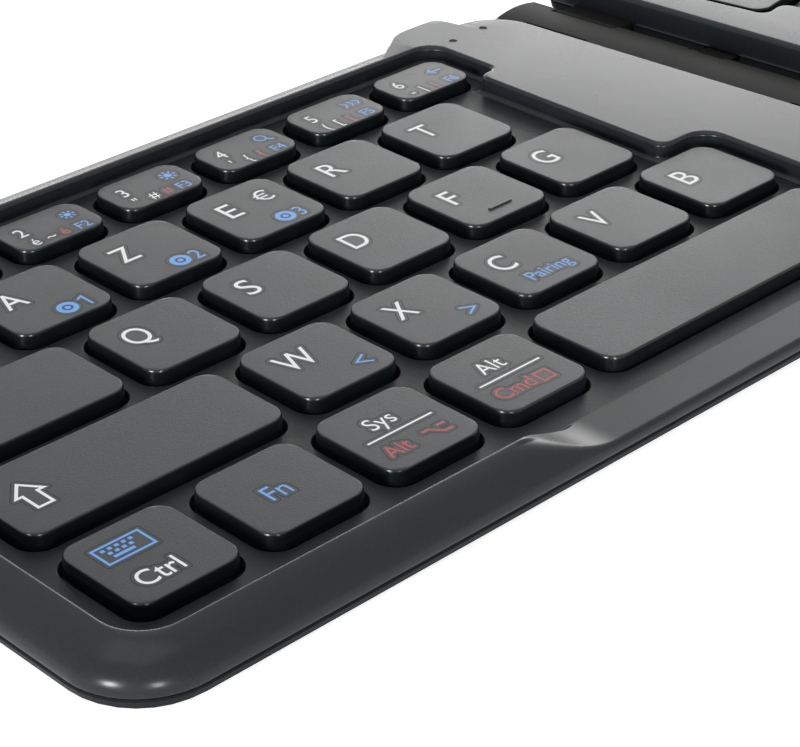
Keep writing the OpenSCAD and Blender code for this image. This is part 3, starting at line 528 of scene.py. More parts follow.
def top_case(right):
    """A half's upper shell: lip, rim, port, land, tray wall, deck with its openings, and the inner side"""
    side = "right" if right else "left"
    tray, end_x = (RIGHT_TRAY, RIGHT_WALL[3]) if right else (LEFT_TRAY, LEFT_WALL[3])
    keys = [(n, -x - w, y, w, d) for row in RIGHT_ROWS for n, x, y, w, d in row] if right else LEFT_KEYS
    front = (steps_between(16, 42, 0.5) + steps_between(46, end_x - 4, 6)
             + steps_between(end_x - 1.6, end_x, 0.1))
    rear = list(reversed(steps_between(88, 114.5, 0.25)))
    s = Shape()

    def outer(rim, hinge):
        return rounded(half_corners(right), [rim, hinge, rim, rim], 12, 1.17, {0: front, 2: rear})

    def outline(rim, hinge, bevel, z, soft):
        """A ring moved in by rim and, at the fold, by hinge. bevel is the inset at the port's edge."""
        pts, zs = outer(rim, hinge), []
        for p in pts:
            if not right and p.y > 30:
                p.y = max(p.y, port_reach(p.x) - bevel)
            low = sweep_height(p.x, end_x)
            on_front = p.y < TRAY_FRONT + 2 and p.x > 0
            zs.append((blunt_min(z, low, 0.9) if soft else min(z, low)) if on_front else z)
        return s.ring(pts, zs)

    def hinge_inset(z):
        """Inset at this height of the rounding along the fold"""
        r = 0.9 if right else 0.45
        e = z - (RIM_TOP - r)
        return 0.0 if e <= 0 else r - math.sqrt(max(0, r * r - e * e))

    rings = [s.ring(outer(0.6, 0.5), CASE_LOW)]
    for inset, z in ((0.25, CASE_LOW), (0.08, CASE_LOW + 0.07), (0.0, CASE_LOW + 0.25)):
        rings.append(outline(inset, min(inset, 0.15), inset, z, True))
    end = math.radians(RIM_TURN)
    for k in range(RIM_RINGS + 1):
        t = math.radians(RIM_TURN * k / RIM_RINGS)
        z = RIM_LOW + (RIM_TOP - RIM_LOW) * math.sin(t) / math.sin(end)
        rim = (RIM_W - 0.75) * (1 - math.cos(t)) / (1 - math.cos(end))
        rings.append(outline(rim, hinge_inset(z), hinge_inset(z), z, k < RIM_RINGS))
    window = None
    if not right:
        def window(q):
            """True for a face that lies in the charging port's opening"""
            x, y, z = (sum(p[i] for p in q) / 4 for i in range(3))
            return y > 33 and abs(x - PORT_X) < 4.1 and z < 5.8
    for a, b in zip(rings, rings[1:]):
        s.strip(a, b, skip=window)
    if window:
        # the port's roof, back and side walls, near black as painted shade
        x0, x1 = PORT_X - PORT_HALF, PORT_X + PORT_HALF
        roof = s.ring([(x0, PORT_BACK), (x1, PORT_BACK), (x1, PORT_ENDS[1]), (PORT_X - 2, 37.5),
                       (x0, PORT_ENDS[0])], PORT_ROOF)
        s.face(list(reversed(roof)), 2)
        back = [s.ring([(x0, PORT_BACK), (x1, PORT_BACK)], z) for z in (CASE_LOW, PORT_ROOF)]
        s.face([back[0][0], back[1][0], back[1][1], back[0][1]], 2)
        for x, reach in zip((x0, x1), PORT_ENDS):
            w = s.ring([(x, PORT_BACK), (x, reach), (x, reach), (x, PORT_BACK)],
                       [CASE_LOW, CASE_LOW, PORT_ROOF, PORT_ROOF])
            s.face(w if x == x0 else list(reversed(w)), 2)

    # tray wall, from its rounded top down to the fillet on the deck
    tray_rings = []
    tray_front = [x for x in front if x < end_x - 0.5]

    def tray_ring(d, z):
        pts = rounded(tray, d, 8, 1.0, {0: tray_front})
        zs = [min(z, sweep_height(p.x, end_x)) if p.y < TRAY_FRONT + 2 and p.x > 0 else z for p in pts]
        return s.ring(pts, [max(zz, DECK_Z) for zz in zs])

    for k in range(8):
        t = math.radians(90 * k / 7)
        tray_rings.append(tray_ring(-TRAY_R * (1 - math.sin(t)), RIM_TOP - TRAY_R * (1 - math.cos(t))))
    for k in range(7):
        t = math.radians(90 * k / 6)
        tray_rings.append(tray_ring(FILLET * (1 - math.cos(t)), DECK_Z + FILLET * (1 - math.sin(t))))
    for a, b in zip(tray_rings, tray_rings[1:]):
        s.strip(a, b)
    holes = []
    if not right:
        for x, y in LIGHTS:
            mouth, lip, deep = (s.ring(circle(x, y, r), RIM_TOP - down)
                                for r, down in ((0.68, 0), (0.6, 0.1), (0.6, 1.0)))
            s.strip(mouth, lip)
            # the light hole's inside is near black as painted shade
            s.strip(lip, deep, 2)
            holes.append(mouth)
    s.fill([rings[-1], tray_rings[0]] + holes)

    # deck with a softened opening for each key; the opening's lower rounding and walls are near black as
    # painted shade
    openings, under = [], []
    shapes = [k for k in keys if k[0] not in ("down", "up")]
    # the two half-size arrow keys share one opening
    shapes += [(n, x, y, w, CAP_D) for n, x, y, w, d in keys if n == "down"]
    for n, x, y, w, d in shapes:
        a, b, c, e = (s.ring(cap_outline(x, y, w, d, gap, CAP_R + gap), DECK_Z - down) for gap, down in OPENING)
        s.strip(a, b, 1)
        s.strip(b, c, 2)
        s.strip(c, e, 2)
        openings.append(a)
        under.append(e)
    s.fill([tray_rings[-1]] + openings, 1)
    # inner side: lip, wall and the deck's underside, near black as painted shade
    inside = [s.ring(outer(WALL, WALL - 0.4), z) for z in (DECK_Z - DECK_T, CASE_LOW)]
    s.strip(inside[0], inside[1], 2)
    s.strip(inside[1], rings[0], 2)
    s.fill([inside[0]] + under, 2, up=False)
    place = place_mirrored if right else place_left
    obj = s.piece(side + "_top_shell", [CASE, DECK, PAINTED_SHADE], place, mirrored=right, sharp=38)
    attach(obj, side + "_half")
    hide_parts(side + "_top_case")


top_case(False)
top_case(True)


# ---- CAD nodes with finer edges
def polish(node, material, bevel, segments=2, sharp=28.0):
    """A copy of the node's own shape, with smooth curved faces and edges softened over bevel mm"""
    mesh = nodes[node].data.copy()
    mesh.name = node + "_fine"
    mesh.materials.clear()
    mesh.materials.append(material)
    bm = bmesh.new()
    bm.from_mesh(mesh)
    bmesh.ops.remove_doubles(bm, verts=bm.verts, dist=2e-6)
    bmesh.ops.dissolve_limit(bm, angle_limit=math.radians(0.6), verts=bm.verts, edges=bm.edges)
    bm.to_mesh(mesh)
    bm.free()
    mesh.polygons.foreach_set("material_index", [0] * len(mesh.polygons))
    if mesh.has_custom_normals:
        mesh.normals_split_custom_set([(0, 0, 0)] * len(mesh.loops))
    obj = bpy.data.objects.new(node + "_fine", mesh)
    scene.collection.objects.link(obj)
    shade_smooth(mesh, sharp)
    if bevel:
        mod = obj.modifiers.new("edges", "BEVEL")
        mod.width = bevel * MM
        mod.segments = segments
        mod.limit_method = "ANGLE"
        mod.angle_limit = math.radians(sharp)
        mod.harden_normals = True
    else:
        weigh_normals(obj, "FACE_AREA")
    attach(obj, [b for b, members in frame["record"]["behaviour"]["bodies"].items() if node in members][0])
    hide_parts(node)


for side in ("left", "right"):
    polish(side + "_bottom_case", BASE, 0)
    polish(side + "_hinge_leaf", SHADED_COATING, 0.1)
    polish(side + "_support_plate", STEEL, 0)
    polish(side + "_feet", RUBBER, 0.2, segments=3)
    polish(side + "_screws", NICKEL, 0.1)
polish("battery", POUCH, 0.35, segments=3)
polish("main_board", BOARD, 0.05)
polish("charging_socket", NICKEL, 0.1)
polish("status_lights", PIPE, 0.05)
polish("hinge_pins", SHADED_COATING, 0.1)
polish("spine_base", SPINE, 0.1)
polish("spine_cover", SPINE, 0.12)


# ---- keys
def cap_shape(s, k):
    """A cap: its skirt, rounded upper edge, top and hollow, with a ridge to feel on two of the keys"""
    n, x, y, w, d = k
    grow, edge = 0.14, 0.3      # how far the skirt goes past the CAD's cap, and half the height of the rounding

    def ring(inset, z, r):
        return s.ring(cap_outline(x, y, w, d, -inset, max(0.3, r)), z)
    rings = [ring(0.9, SKIRT_Z, CAP_R - 0.9), ring(0.05 - grow, SKIRT_Z, CAP_R - 0.05),
             ring(-grow, SKIRT_Z + 0.05, CAP_R), ring(-0.06, CAP_TOP - 2 * edge, CAP_R)]
    # the skirt and the lower part of the rounding take the darker side material, painted shade
    marks = [1, 1, 1]
    for i in range(1, 7):
        t = math.radians(90 * i / 6)
        out = edge * 0.8 * (1 - math.cos(t)) - 0.06
        rings.append(ring(out, CAP_TOP - 2 * edge + 2 * edge * math.sin(t), CAP_R - max(0, out)))
        marks.append(1 if i < 5 else 0)
    for a, b, m in zip(rings, rings[1:], marks):
        s.strip(a, b, m)
    s.fill([rings[-1]], 0)
    roof = ring(0.9, CAP_TOP - 0.9, CAP_R - 0.9)
    s.strip(roof, rings[0], 1)
    s.fill([roof], 1, up=False)
    if n in ("key_f", "j"):
        cx = x + w / 2
        low, high = (s.ring([(cx - a, y + y0), (cx + a, y + y0), (cx + a, y + y1), (cx - a, y + y1)], z)
                     for a, y0, y1, z in ((2.2, 2.6, 3.1, CAP_TOP - 0.02), (2.1, 2.7, 3.0, CAP_TOP + 0.22)))
        s.strip(low, high, 1)
        s.face(high, 1)


for body, row, place, half in GROUPS:
    s = Shape()
    for key in row:
        cap_shape(s, key)
    obj = s.piece(body + ("_cap" if len(row) == 1 else "_caps"), [CAP, CAP_SIDE_SHADE], place, sharp=50)
    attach(obj, body)
    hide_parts(body)

# ---- legends
INK = {"w": WHITE, "b": BLUE, "r": RED, "l": LACQUER_EDGE_SHADE}


class Legend:
    """All the print on one body's caps, as thin ink a hair above the plastic"""

    def __init__(self, name, body, place):
        self.name, self.body, self.place = name, body, place
        self.v, self.f, self.m = [], [], []
        self.lift = 0.012

    def add(self, verts, faces, ink):
        base = len(self.v)
        self.v += verts
        self.f += [[base + i for i in f] for f in faces]
        self.m += [list(INK).index(ink)] * len(faces)

    def text(self, body, x, y, height, ink="w", squeeze=0.9, weight=0.0):
        """Writes capitals of this height from x, y on, and gives the word's width"""
        if not body:
            return 0.0
        size = height / 0.729  # the font's capitals are 0.729 of its size
        curve = bpy.data.curves.new("legend_text", "FONT")
        curve.body = body
        curve.size = size
        curve.resolution_u = 6
        curve.offset = weight * size
        obj = bpy.data.objects.new("legend_text", curve)
        scene.collection.objects.link(obj)
        bpy.context.view_layer.update()
        mesh = bpy.data.meshes.new_from_object(obj)
        xs = [v.co.x for v in mesh.vertices]
        x0 = min(xs)
        self.add([(x + (v.co.x - x0) * squeeze, y + v.co.y, self.lift) for v in mesh.vertices],
                 [list(p.vertices) for p in mesh.polygons], ink)
        width = (max(xs) - x0) * squeeze
        bpy.data.objects.remove(obj)
        bpy.data.meshes.remove(mesh)
        bpy.data.curves.remove(curve)
        return width

    def line(self, points, width, ink="w", closed=False):
        """A stroke with mitred corners"""
        p = [Vector(q) for q in points]
        n = len(p)
        left, right = [], []
        for i in range(n):
            before = (p[i] - p[i - 1]).normalized() if closed or i else None
            after = (p[(i + 1) % n] - p[i]).normalized() if closed or i < n - 1 else None
            sides = [Vector((-u.y, u.x)) for u in (before, after) if u]
            m = sum(sides, Vector((0, 0))).normalized()
            off = m * width / 2 / max(0.4, m.dot(sides[0]))
            left.append((*(p[i] + off), self.lift))
            right.append((*(p[i] - off), self.lift))
        count = n if closed else n - 1
        self.add(right + left, [[i, (i + 1) % n, n + (i + 1) % n, n + i] for i in range(count)], ink)

    def disc(self, x, y, r, hole=0.0):
        n = 28
        turns = [2 * math.pi * i / n for i in range(n)]
        outer, inner = ([(x + a * math.cos(t), y + a * math.sin(t), self.lift) for t in turns]
                        for a in (r, hole))
        if hole:
            self.add(outer + inner, [[i, (i + 1) % n, n + (i + 1) % n, n + i] for i in range(n)], "b")
        else:
            self.add(outer, [list(range(n))], "b")

    def box(self, x0, y0, x1, y1, ink):
        self.add([(x0, y0, self.lift), (x1, y0, self.lift), (x1, y1, self.lift), (x0, y1, self.lift)],
                 [[0, 1, 2, 3]], ink)

    def lacquer(self, far=0.45, width=0.1, step=0.09):
        """The thin edge of the clear lacquer over the print, drawn as a dark line of painted shade: the contour
        at a fixed distance from the ink
        """
        v = np.array(self.v)[:, :2]
        pairs = {tuple(sorted((f[i - 1], f[i]))) for f in self.f for i in range(len(f))}
        a = v[[q[0] for q in pairs]]
        b = v[[q[1] for q in pairs]]
        lo, hi = v.min(0) - far - 2 * step, v.max(0) + far + 2 * step
        gx, gy = (np.arange(lo[i], hi[i], step) for i in (0, 1))
        px, py = np.meshgrid(gx, gy, indexing="ij")
        best = np.full(px.shape, 9.0)
        for (ax, ay), (bx, by) in zip(a, b):
            dx, dy = bx - ax, by - ay
            i0, i1 = np.searchsorted(gx, (min(ax, bx) - 0.8, max(ax, bx) + 0.8))
            j0, j1 = np.searchsorted(gy, (min(ay, by) - 0.8, max(ay, by) + 0.8))
            qx, qy = px[i0:i1, j0:j1], py[i0:i1, j0:j1]
            t = np.clip(((qx - ax) * dx + (qy - ay) * dy) / (dx * dx + dy * dy + 1e-12), 0, 1)
            d = np.hypot(qx - ax - t * dx, qy - ay - t * dy)
            best[i0:i1, j0:j1] = np.minimum(best[i0:i1, j0:j1], d)
        f = best - far
        inside = f < 0

        def cut(p, q):
            """Where the contour crosses the grid's edge from p to q"""
            t = f[p] / (f[p] - f[q])
            return (gx[p[0]] + t * (gx[q[0]] - gx[p[0]]), gy[p[1]] + t * (gy[q[1]] - gy[p[1]]))
        nxt, where = {}, {}
        mixed = inside[:-1, :-1].astype(int) + inside[1:, :-1] + inside[:-1, 1:] + inside[1:, 1:]
        for i, j in zip(*np.nonzero((mixed > 0) & (mixed < 4))):
            ring = [(i, j), (i + 1, j), (i + 1, j + 1), (i, j + 1)]
            leave, enter = [], []
            for k in range(4):
                p, q = ring[k], ring[(k + 1) % 4]
                if inside[p] != inside[q]:
                    key = tuple(sorted((p, q)))
                    where[key] = cut(p, q)
                    (leave if inside[p] else enter).append(key)
            for e, o in zip(enter, leave if len(leave) == 1 else leave[::-1]):
                nxt[o] = e
        loops = []
        while nxt:
            start, key = next(iter(nxt.items()))
            loop = [where[start]]
            del nxt[start]
            while key in nxt:
                loop.append(where[key])
                key = nxt.pop(key)
            loop = [p for k, p in enumerate(loop) if k % 2 == 0]
            area = sum(a[0] * b[1] - a[1] * b[0] for a, b in zip(loop, loop[1:] + loop[:1])) / 2
            loops.append((abs(area), area, loop))
        outward = max(loops)[1] > 0
        self.lift = 0.006
        for size, area, loop in loops:
            if (area > 0) == outward and size > 0.5:
                self.line(loop, width, "l", closed=True)

    def done(self):
        if not self.v:
            return
        self.lacquer()
        mesh = bpy.data.meshes.new(self.name)
        mesh.from_pydata([Vector(self.place(x, y, CAP_TOP + z)) * MM for x, y, z in self.v], [], self.f)
        for ink in INK.values():
            mesh.materials.append(ink)
        mesh.polygons.foreach_set("material_index", self.m)
        obj = bpy.data.objects.new(self.name, mesh)
        scene.collection.objects.link(obj)
        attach(obj, self.body)


def sun(g, x, y, r):
    g.disc(x, y, r * 0.45)
    for i in range(8):
        a = math.pi * i / 4
        g.line([(x + r * 0.62 * math.cos(a), y + r * 0.62 * math.sin(a)),
                (x + r * math.cos(a), y + r * math.sin(a))], r * 0.22, "b")


def up_arrow(g, x, y, w, h):
    t = w * 0.27
    g.line([(x + w / 2, y + h), (x + w, y + h * 0.55), (x + w / 2 + t, y + h * 0.55), (x + w / 2 + t, y),
            (x + w / 2 - t, y), (x + w / 2 - t, y + h * 0.55), (x, y + h * 0.55)], 0.42, closed=True)


# each letter's width against the font's own, and its shift to the left
SHAPES = {"W": (0.84, 0.3), "X": (0.79, 0.2), "Q": (0.8, 0.45), "Z": (0.82, 0.15), "D": (0.9, 0.2),
          "S": (1.0, 0.1), "E": (0.98, 0), "C": (0.84, 0.2), "G": (0.84, 0.2), "V": (0.84, 0.2),
          "A": (0.84, 0.2), "T": (0.88, 0.1), "R": (0.94, 0), "M": (0.84, 0), "N": (0.88, 0), "O": (0.8, 0.2),
          "U": (0.92, 0)}


def letter(g, k, ch):
    width, left = SHAPES.get(ch, (0.95, 0))
    g.text(ch, k[1] + 3.25 - left, k[2] + 7.15, 4.45, "w", width)


def digit(g, ch, x, y, h, ink="w"):
    """A digit, the 1 with a plain foot, unlike the font's"""
    if ch == "1":
        g.line([(x + 0.1 * h, y + 0.8 * h), (x + 0.42 * h, y + 0.96 * h), (x + 0.42 * h, y)], 0.125 * h, ink)
    else:
        g.text(ch, x, y, h, ink)


def channel_sign(g, k, number):
    """A ringed dot and a number, in blue"""
    x, y = k[1], k[2]
    g.disc(x + 9.0, y + 2.65, 1.5, hole=0.78)
    g.disc(x + 9.0, y + 2.65, 0.42)
    digit(g, number, x + 10.95, y + 1.3, 2.75, "b")


# digit, the two white signs, the red and the blue one
NUMBERS = {"key_1": ("1", "&", "", "@", "F1"), "key_2": ("2", "é", "~", "é", "F2"),
           "key_3": ("3", '"', "#", "#", "F3"), "key_4": ("4", "'", "{", "{", "F4"),
           "key_5": ("5", "(", "[", "[", "F5"), "key_6": ("6", "-", "|", "|", "F6"),
           "7": ("7", "è", "`", "`", "F7"), "8": ("8", "_", "\\", "\\", "F8"),
           "9": ("9", "ç", "^", "^", "F9"), "0": ("0", "à", "@", "@", "F10")}


def number_key(g, k):
    n, x, y = k[:3]
    num, white, second, red, blue = NUMBERS[n]
    digit(g, num, x + 2.35, y + 4.2, 2.6)
    g.text(white, x + 2.5, y + 0.95, 2.2)
    g.text(second, x + 4.95, y + 0.95, 2.1)
    g.text(red, x + 7.4, y + 0.95, 2.0, "r")
    g.text(blue, x + 10.0, y + 0.75, 2.0, "b")
    cx, cy = x + 11.3, y + 5.6
    if n in ("key_2", "key_3"):
        sun(g, cx, cy, 1.35 if n == "key_3" else 1.15)
    elif n == "key_1":
        frame_line(g, cx - 1.3, cy - 0.9, cx + 1.3, cy + 0.9, 0.22, "b")
    elif n == "key_4":
        g.disc(cx - 0.2, cy + 0.2, 1.0, hole=0.75)
        g.line([(cx + 0.5, cy - 0.5), (cx + 1.3, cy - 1.3)], 0.3, "b")
    elif n in ("key_5", "8"):
        for i in range(3):
            ax = cx - 1.5 + i * 1.2
            g.line([(ax, cy + 0.9), (cx - 0.9 + i * 1.2, cy), (ax, cy - 0.9)], 0.26, "b")
    elif n in ("key_6", "9"):
        g.line([(cx - 1.2, cy), (cx + 1.2, cy)], 0.3, "b")
        g.line([(cx - 0.5, cy + 0.8), (cx - 1.3, cy), (cx - 0.5, cy - 0.8)], 0.28, "b")
    else:
        g.box(cx - 0.9, cy - 0.35, cx - 0.3, cy + 0.35, "b")
        g.line([(cx - 0.3, cy + 0.35), (cx + 0.4, cy + 0.9), (cx + 0.4, cy - 0.9), (cx - 0.3, cy - 0.35)],
               0.22, "b")


def frame_line(g, x0, y0, x1, y1, width, ink):
    g.line([(x0, y0), (x1, y0), (x1, y1), (x0, y1)], width, ink, closed=True)


def two_words(g, k, upper, lower, mark):
    """A white word over a line, and a red one with a stepped line or a square after it"""
    x, y = k[1], k[2]
    g.text(upper, x + 4.95, y + 8.75, 2.75)
    g.line([(x + 2.3, y + 7.05), (x + 12.9, y + 7.05)], 0.3, "w")
    width = g.text(lower, x + 2.3, y + 2.8, 2.6, "r")
    mx = max(x + 8.7, x + 2.3 + width + 0.9)
    if mark == "steps":
        g.line([(mx, y + 4.5), (mx + 1.1, y + 4.5), (mx + 2.4, y + 2.95), (mx + 3.7, y + 2.95)], 0.32, "r")
        g.line([(mx + 2.4, y + 4.5), (mx + 3.7, y + 4.5)], 0.32, "r")
    else:
        frame_line(g, mx, y + 2.7, mx + 2.0, y + 4.7, 0.3, "r")


CHANNELS = {"key_a": "1", "key_z": "2", "key_e": "3"}
# words and single signs: text, place on the cap, height and ink
WORDS = {"key_c": [("Pairing", 4.3, 2.75, 2.35, "b")], "key_function": [("Fn", 5.35, 5.75, 3.1, "b")],
         "key_escape": [("Esc", 2.4, 4.2, 2.6, "w")], "alt": [("Alt Gr", 3.2, 6.6, 2.6, "w")]}
for n, upper, lower in (("hat", "¨", "^"), ("dollar", "£", "$"), ("grave", "%", "ù"), ("comma", "?", ","),
                        ("semicolon", ".", ";"), ("colon", "/", ":"), ("mark", "§", "!")):
    WORDS[n] = [(upper, 3.3, 9.2, 2.75, "w"), (lower, 3.3, 3.6, 2.75, "w")]
for n, upper, lower, blue in (("bracket", "°", ")", "F11"), ("equals", "+", "=", "F12")):
    WORDS[n] = [(upper, 2.4, 4.2, 2.75, "w"), (lower, 2.3, 0.95, 2.0, "w"), (blue, 9.2, 0.6, 1.9, "b")]
# strokes: points, width and ink
STROKES = {
    "key_w": [([(12.4, 4.4), (10.5, 3.4), (12.4, 2.3)], 0.32, "b")],
    "key_x": [([(10.6, 4.4), (12.5, 3.35), (10.6, 2.3)], 0.32, "b")],
    "key_caps_lock": [([(4.4, 3.9), (6.4, 3.9)], 0.42, "w")],
    "key_tab": [([(3.4, 9.6), (8.2, 9.6)], 0.42, "w"), ([(7.0, 10.6), (8.2, 9.6), (7.0, 8.6)], 0.42, "w"),
                ([(8.7, 10.9), (8.7, 8.3)], 0.42, "w")],
    "backspace": [([(3, 4.6), (7.6, 4.6)], 0.4, "w"), ([(4.3, 5.7), (3, 4.6), (4.3, 3.5)], 0.4, "w")],
    "enter": [([(8.5, 10.4), (8.5, 8.2), (3.6, 8.2)], 0.42, "w"),
              ([(4.9, 9.3), (3.6, 8.2), (4.9, 7.1)], 0.42, "w")]}
UP_ARROWS = {"key_left_shift": (4.65, 3.9, 5.6), "shift": (4.65, 3.9, 5.6), "key_caps_lock": (5.2, 3.6, 4.6)}
ARROWS = {"left": (-1, 0), "right": (1, 0), "up": (0, 1), "down": (0, -1)}


def euro(g, cx, cy):
    arc = [math.radians(t) for t in range(48, 313, 11)]
    g.line([(cx + 1.3 * math.cos(t), cy + 1.45 * math.sin(t)) for t in arc], 0.4)
    g.lift = 0.016
    for up in (-0.38, 0.38):
        g.line([(cx - 1.75, cy + up), (cx + 0.3, cy + up)], 0.3)


def small_keyboard(g, x0, y0, x1, y1):
    frame_line(g, x0, y0, x1, y1, 0.34, "b")
    for count, dx, dy in ((5, 0.75, 1.0), (4, 1.2, 1.85)):
        for i in range(count):
            left = x0 + dx + i * 0.98
            g.box(left, y1 - dy, left + 0.55, y1 - dy + 0.5, "b")
    g.box(x0 + 1.35, y1 - 2.7, x0 + 4.3, y1 - 2.2, "b")


def print_key(g, key):
    """Everything that one cap carries"""
    n, x, y, w, d = key
    short = n.removeprefix("key_")
    if len(short) == 1 and short.isalpha():
        letter(g, key, short.upper())
    if n in NUMBERS:
        number_key(g, key)
    if n in CHANNELS:
        channel_sign(g, key, CHANNELS[n])
    if n in UP_ARROWS:
        dy, width, height = UP_ARROWS[n]
        up_arrow(g, x + 3.6, y + dy, width, height)
    for word, dx, dy, height, ink in WORDS.get(n, ()):
        g.text(word, x + dx, y + dy, height, ink)
    for points, width, ink in STROKES.get(n, ()):
        g.line([(x + dx, y + dy) for dx, dy in points], width, ink)
    if n == "key_e":
        euro(g, x + 11.4, y + 9.8)
    elif n == "key_left_control":
        small_keyboard(g, x + 2.95, y + 8.75, x + 9.45, y + 12.1)
        g.text("Ctrl", x + 3.1, y + 2.7, 3.05, weight=0.006)
    elif n == "key_system":
        two_words(g, key, "Sys", "Alt", "steps")
    elif n == "key_left_alt":
        two_words(g, key, "Alt", "Cmd", "square")
    elif n in ARROWS:
        ax, ay = ARROWS[n]
        cx, cy = x + w / 2, y + d / 2
        g.line([(cx - ax * 0.7 + ay * 1.2, cy - ay * 0.7 + ax * 1.2), (cx + ax * 0.7, cy + ay * 0.7),
                (cx - ax * 0.7 - ay * 1.2, cy - ay * 0.7 - ax * 1.2)], 0.4)


for body, row, place, half in GROUPS:
    g = Legend(body + "_print", body, place)
    for key in row:
        print_key(g, key)
    g.done()


# ---- domes and links
def under_key(name, keys, place, body):
    """A dome and a crossed pair of link frames under each key"""
    s = Shape()
    h = DOME_TOP - SHEET_TOP
    for n, x, y, w, d in keys:
        cx, cy = x + w / 2, y + d / 2
        f = min(1, ((d - 3.0) / 2 - 1.2) / 2.4)     # a dome is smaller under a shallow key
        profile = [(2.8 * f, 0.0), (2.4 * f, 0.35), (2.1 * f, 0.9), (1.75 * f, h - 1.0), (1.55 * f, h - 0.35),
                   (1.35 * f, h - 0.08), (0.9 * f, h)]
        rings = [s.ring(circle(cx, cy, r), SHEET_TOP + z) for r, z in profile]
        for a, b in zip(rings, rings[1:]):
            s.strip(a, b, 0)
        s.fill([rings[-1]], 0)
        wd = d - 2.4
        length = min(9.4, w - 3.8)
        rise = h - 0.7
        ang = math.asin(min(0.6, rise / length))
        for sign, half_w in ((1, wd / 2), (-1, wd / 2 - 0.6)):
            u = Vector((math.cos(ang), 0, -sign * math.sin(ang)))
            t = Vector((sign * math.sin(ang), 0, math.cos(ang))) * 0.27
            c = Vector((cx, cy, SHEET_TOP + h / 2))
            rect = []
            for ext in (0.0, 0.45):
                ex, ey = length / 2 - ext, half_w - ext
                rect.append([c + u * a * ex + Vector((0, b * ey, 0))
                             for a, b in ((-1, -1), (1, -1), (1, 1), (-1, 1))])
            top_o, top_i, low_o, low_i = [
                s.ring([(p + t * q)[:2] for p in loop], [(p + t * q).z for p in loop])
                for q in (1, -1) for loop in rect]
            s.strip(low_o, top_o, 1)
            s.strip(top_i, low_i, 1)
            s.strip(top_o, top_i, 1)
            s.strip(low_i, low_o, 1)
    obj = s.piece(name, [SILICONE, NYLON], place, sharp=40)
    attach(obj, body)
    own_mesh(obj)


for side, tray in (("left", LEFT_TRAY), ("right", RIGHT_TRAY)):
    s = Shape()
    low, high = (s.ring(rounded(tray, 1.6, 4), z) for z in (SHEET_TOP - 0.2, SHEET_TOP))
    s.strip(low, high)
    s.fill([high])
    s.fill([low], up=False)
    film = s.piece(side + "_dome_film", [FILM], place_mirrored if side == "right" else place_left,
                   mirrored=side == "right")
    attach(film, side + "_half")
    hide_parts(side + "_dome_sheet", side + "_scissors")
for body, row, place, half in GROUPS:
    under_key(body + ("_dome" if len(row) == 1 else "_domes"), row, place, half)


# ---- flat cable, one straight piece to each side of the spine's middle
def flex_half(name, sign):
    """The cable from the spine's middle into the half at this side"""
    s = Shape()
    reach, thick, bend, n = HALF_GAP + WALL + 3, 0.15, 3.2, 48
    zs = [AXIS_Z + side * thick / 2 for side in (-1, -1, 1, 1)]
    loops = [s.ring([(x, -1), (x, 5), (x, 5), (x, -1)], zs)
             for x in (sign * reach * (1 - i / n) for i in range(n + 1))]
    for p, q in zip(loops, loops[1:]):
        s.strip(p, q)
    s.face(loops[0])
    s.face(list(reversed(loops[-1])))
    obj = s.piece(name, [FLEX], place_fold, mirrored=sign > 0, sharp=60)
    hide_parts("flex_cable")
    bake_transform(obj)


flex_half("flat_cable_left", -1)
flex_half("flat_cable_right", 1)

# ---- camera
# the camera fitted to the key caps' corners: turn, rise and roll in degrees against the left half, focal length
# and image width in pixels, and its place in letter key distances, from the caps' tops
TURN, RISE, ROLL, FOCAL, IMAGE_W = -44.128, 29.785, -0.407, 2481.982, 800
EYE = (-8.2954, -12.1514, 8.0067)
az, el, roll = math.radians(TURN - TILT_DEG), math.radians(RISE), math.radians(ROLL)
back = Vector((math.sin(az) * math.cos(el), -math.cos(az) * math.cos(el), math.sin(el)))
level = Vector((math.cos(az), math.sin(az), 0))
upright = back.cross(level)
side_v = level * math.cos(roll) + upright * math.sin(roll)
up_v = -level * math.sin(roll) + upright * math.cos(roll)
cam_data = bpy.data.cameras.new("camera")
cam_data.sensor_width = 36
cam_data.lens = FOCAL / IMAGE_W * cam_data.sensor_width
cam_data.clip_start = 0.01
cam = bpy.data.objects.new("camera", cam_data)
scene.collection.objects.link(cam)
m = Matrix((side_v, up_v, back)).transposed().to_4x4()
eye = Vector((EYE[0] * PITCH, EYE[1] * PITCH, EYE[2] * PITCH + CAP_TOP))
m.translation = Vector(place_left(*eye)) * MM
cam.matrix_world = m
scene.camera = cam

# ---- floor, world and lights
scene.view_settings.view_transform = "Standard"


def seen_by_camera(nt):
    """1 for rays from the camera and for reflected and refracted rays"""
    path = nt.nodes.new("ShaderNodeLightPath")
    seen = path.outputs["Is Camera Ray"]
    for ray in ("Is Glossy Ray", "Is Transmission Ray"):
        either = nt.nodes.new("ShaderNodeMath")
        either.operation = "MAXIMUM"
        nt.links.new(seen, either.inputs[0])
        nt.links.new(path.outputs[ray], either.inputs[1])
        seen = either.outputs[0]
    return seen


world = bpy.data.worlds.new("studio")
scene.world = world
world.use_nodes = True
nt = world.node_tree
nt.nodes.clear()
mix = nt.nodes.new("ShaderNodeMixShader")
nt.links.new(seen_by_camera(nt), mix.inputs["Fac"])
# the sky that lights the object, and the white that the camera sees
for slot, colour, strength in ((1, (0.93, 0.96, 1.0, 1), 0.45), (2, (1, 1, 1, 1), 1.0)):
    sky = nt.nodes.new("ShaderNodeBackground")
    put(sky, {"Color": colour, "Strength": strength})
    nt.links.new(sky.outputs[0], mix.inputs[slot])
nt.links.new(mix.outputs[0], nt.nodes.new("ShaderNodeOutputWorld").inputs["Surface"])

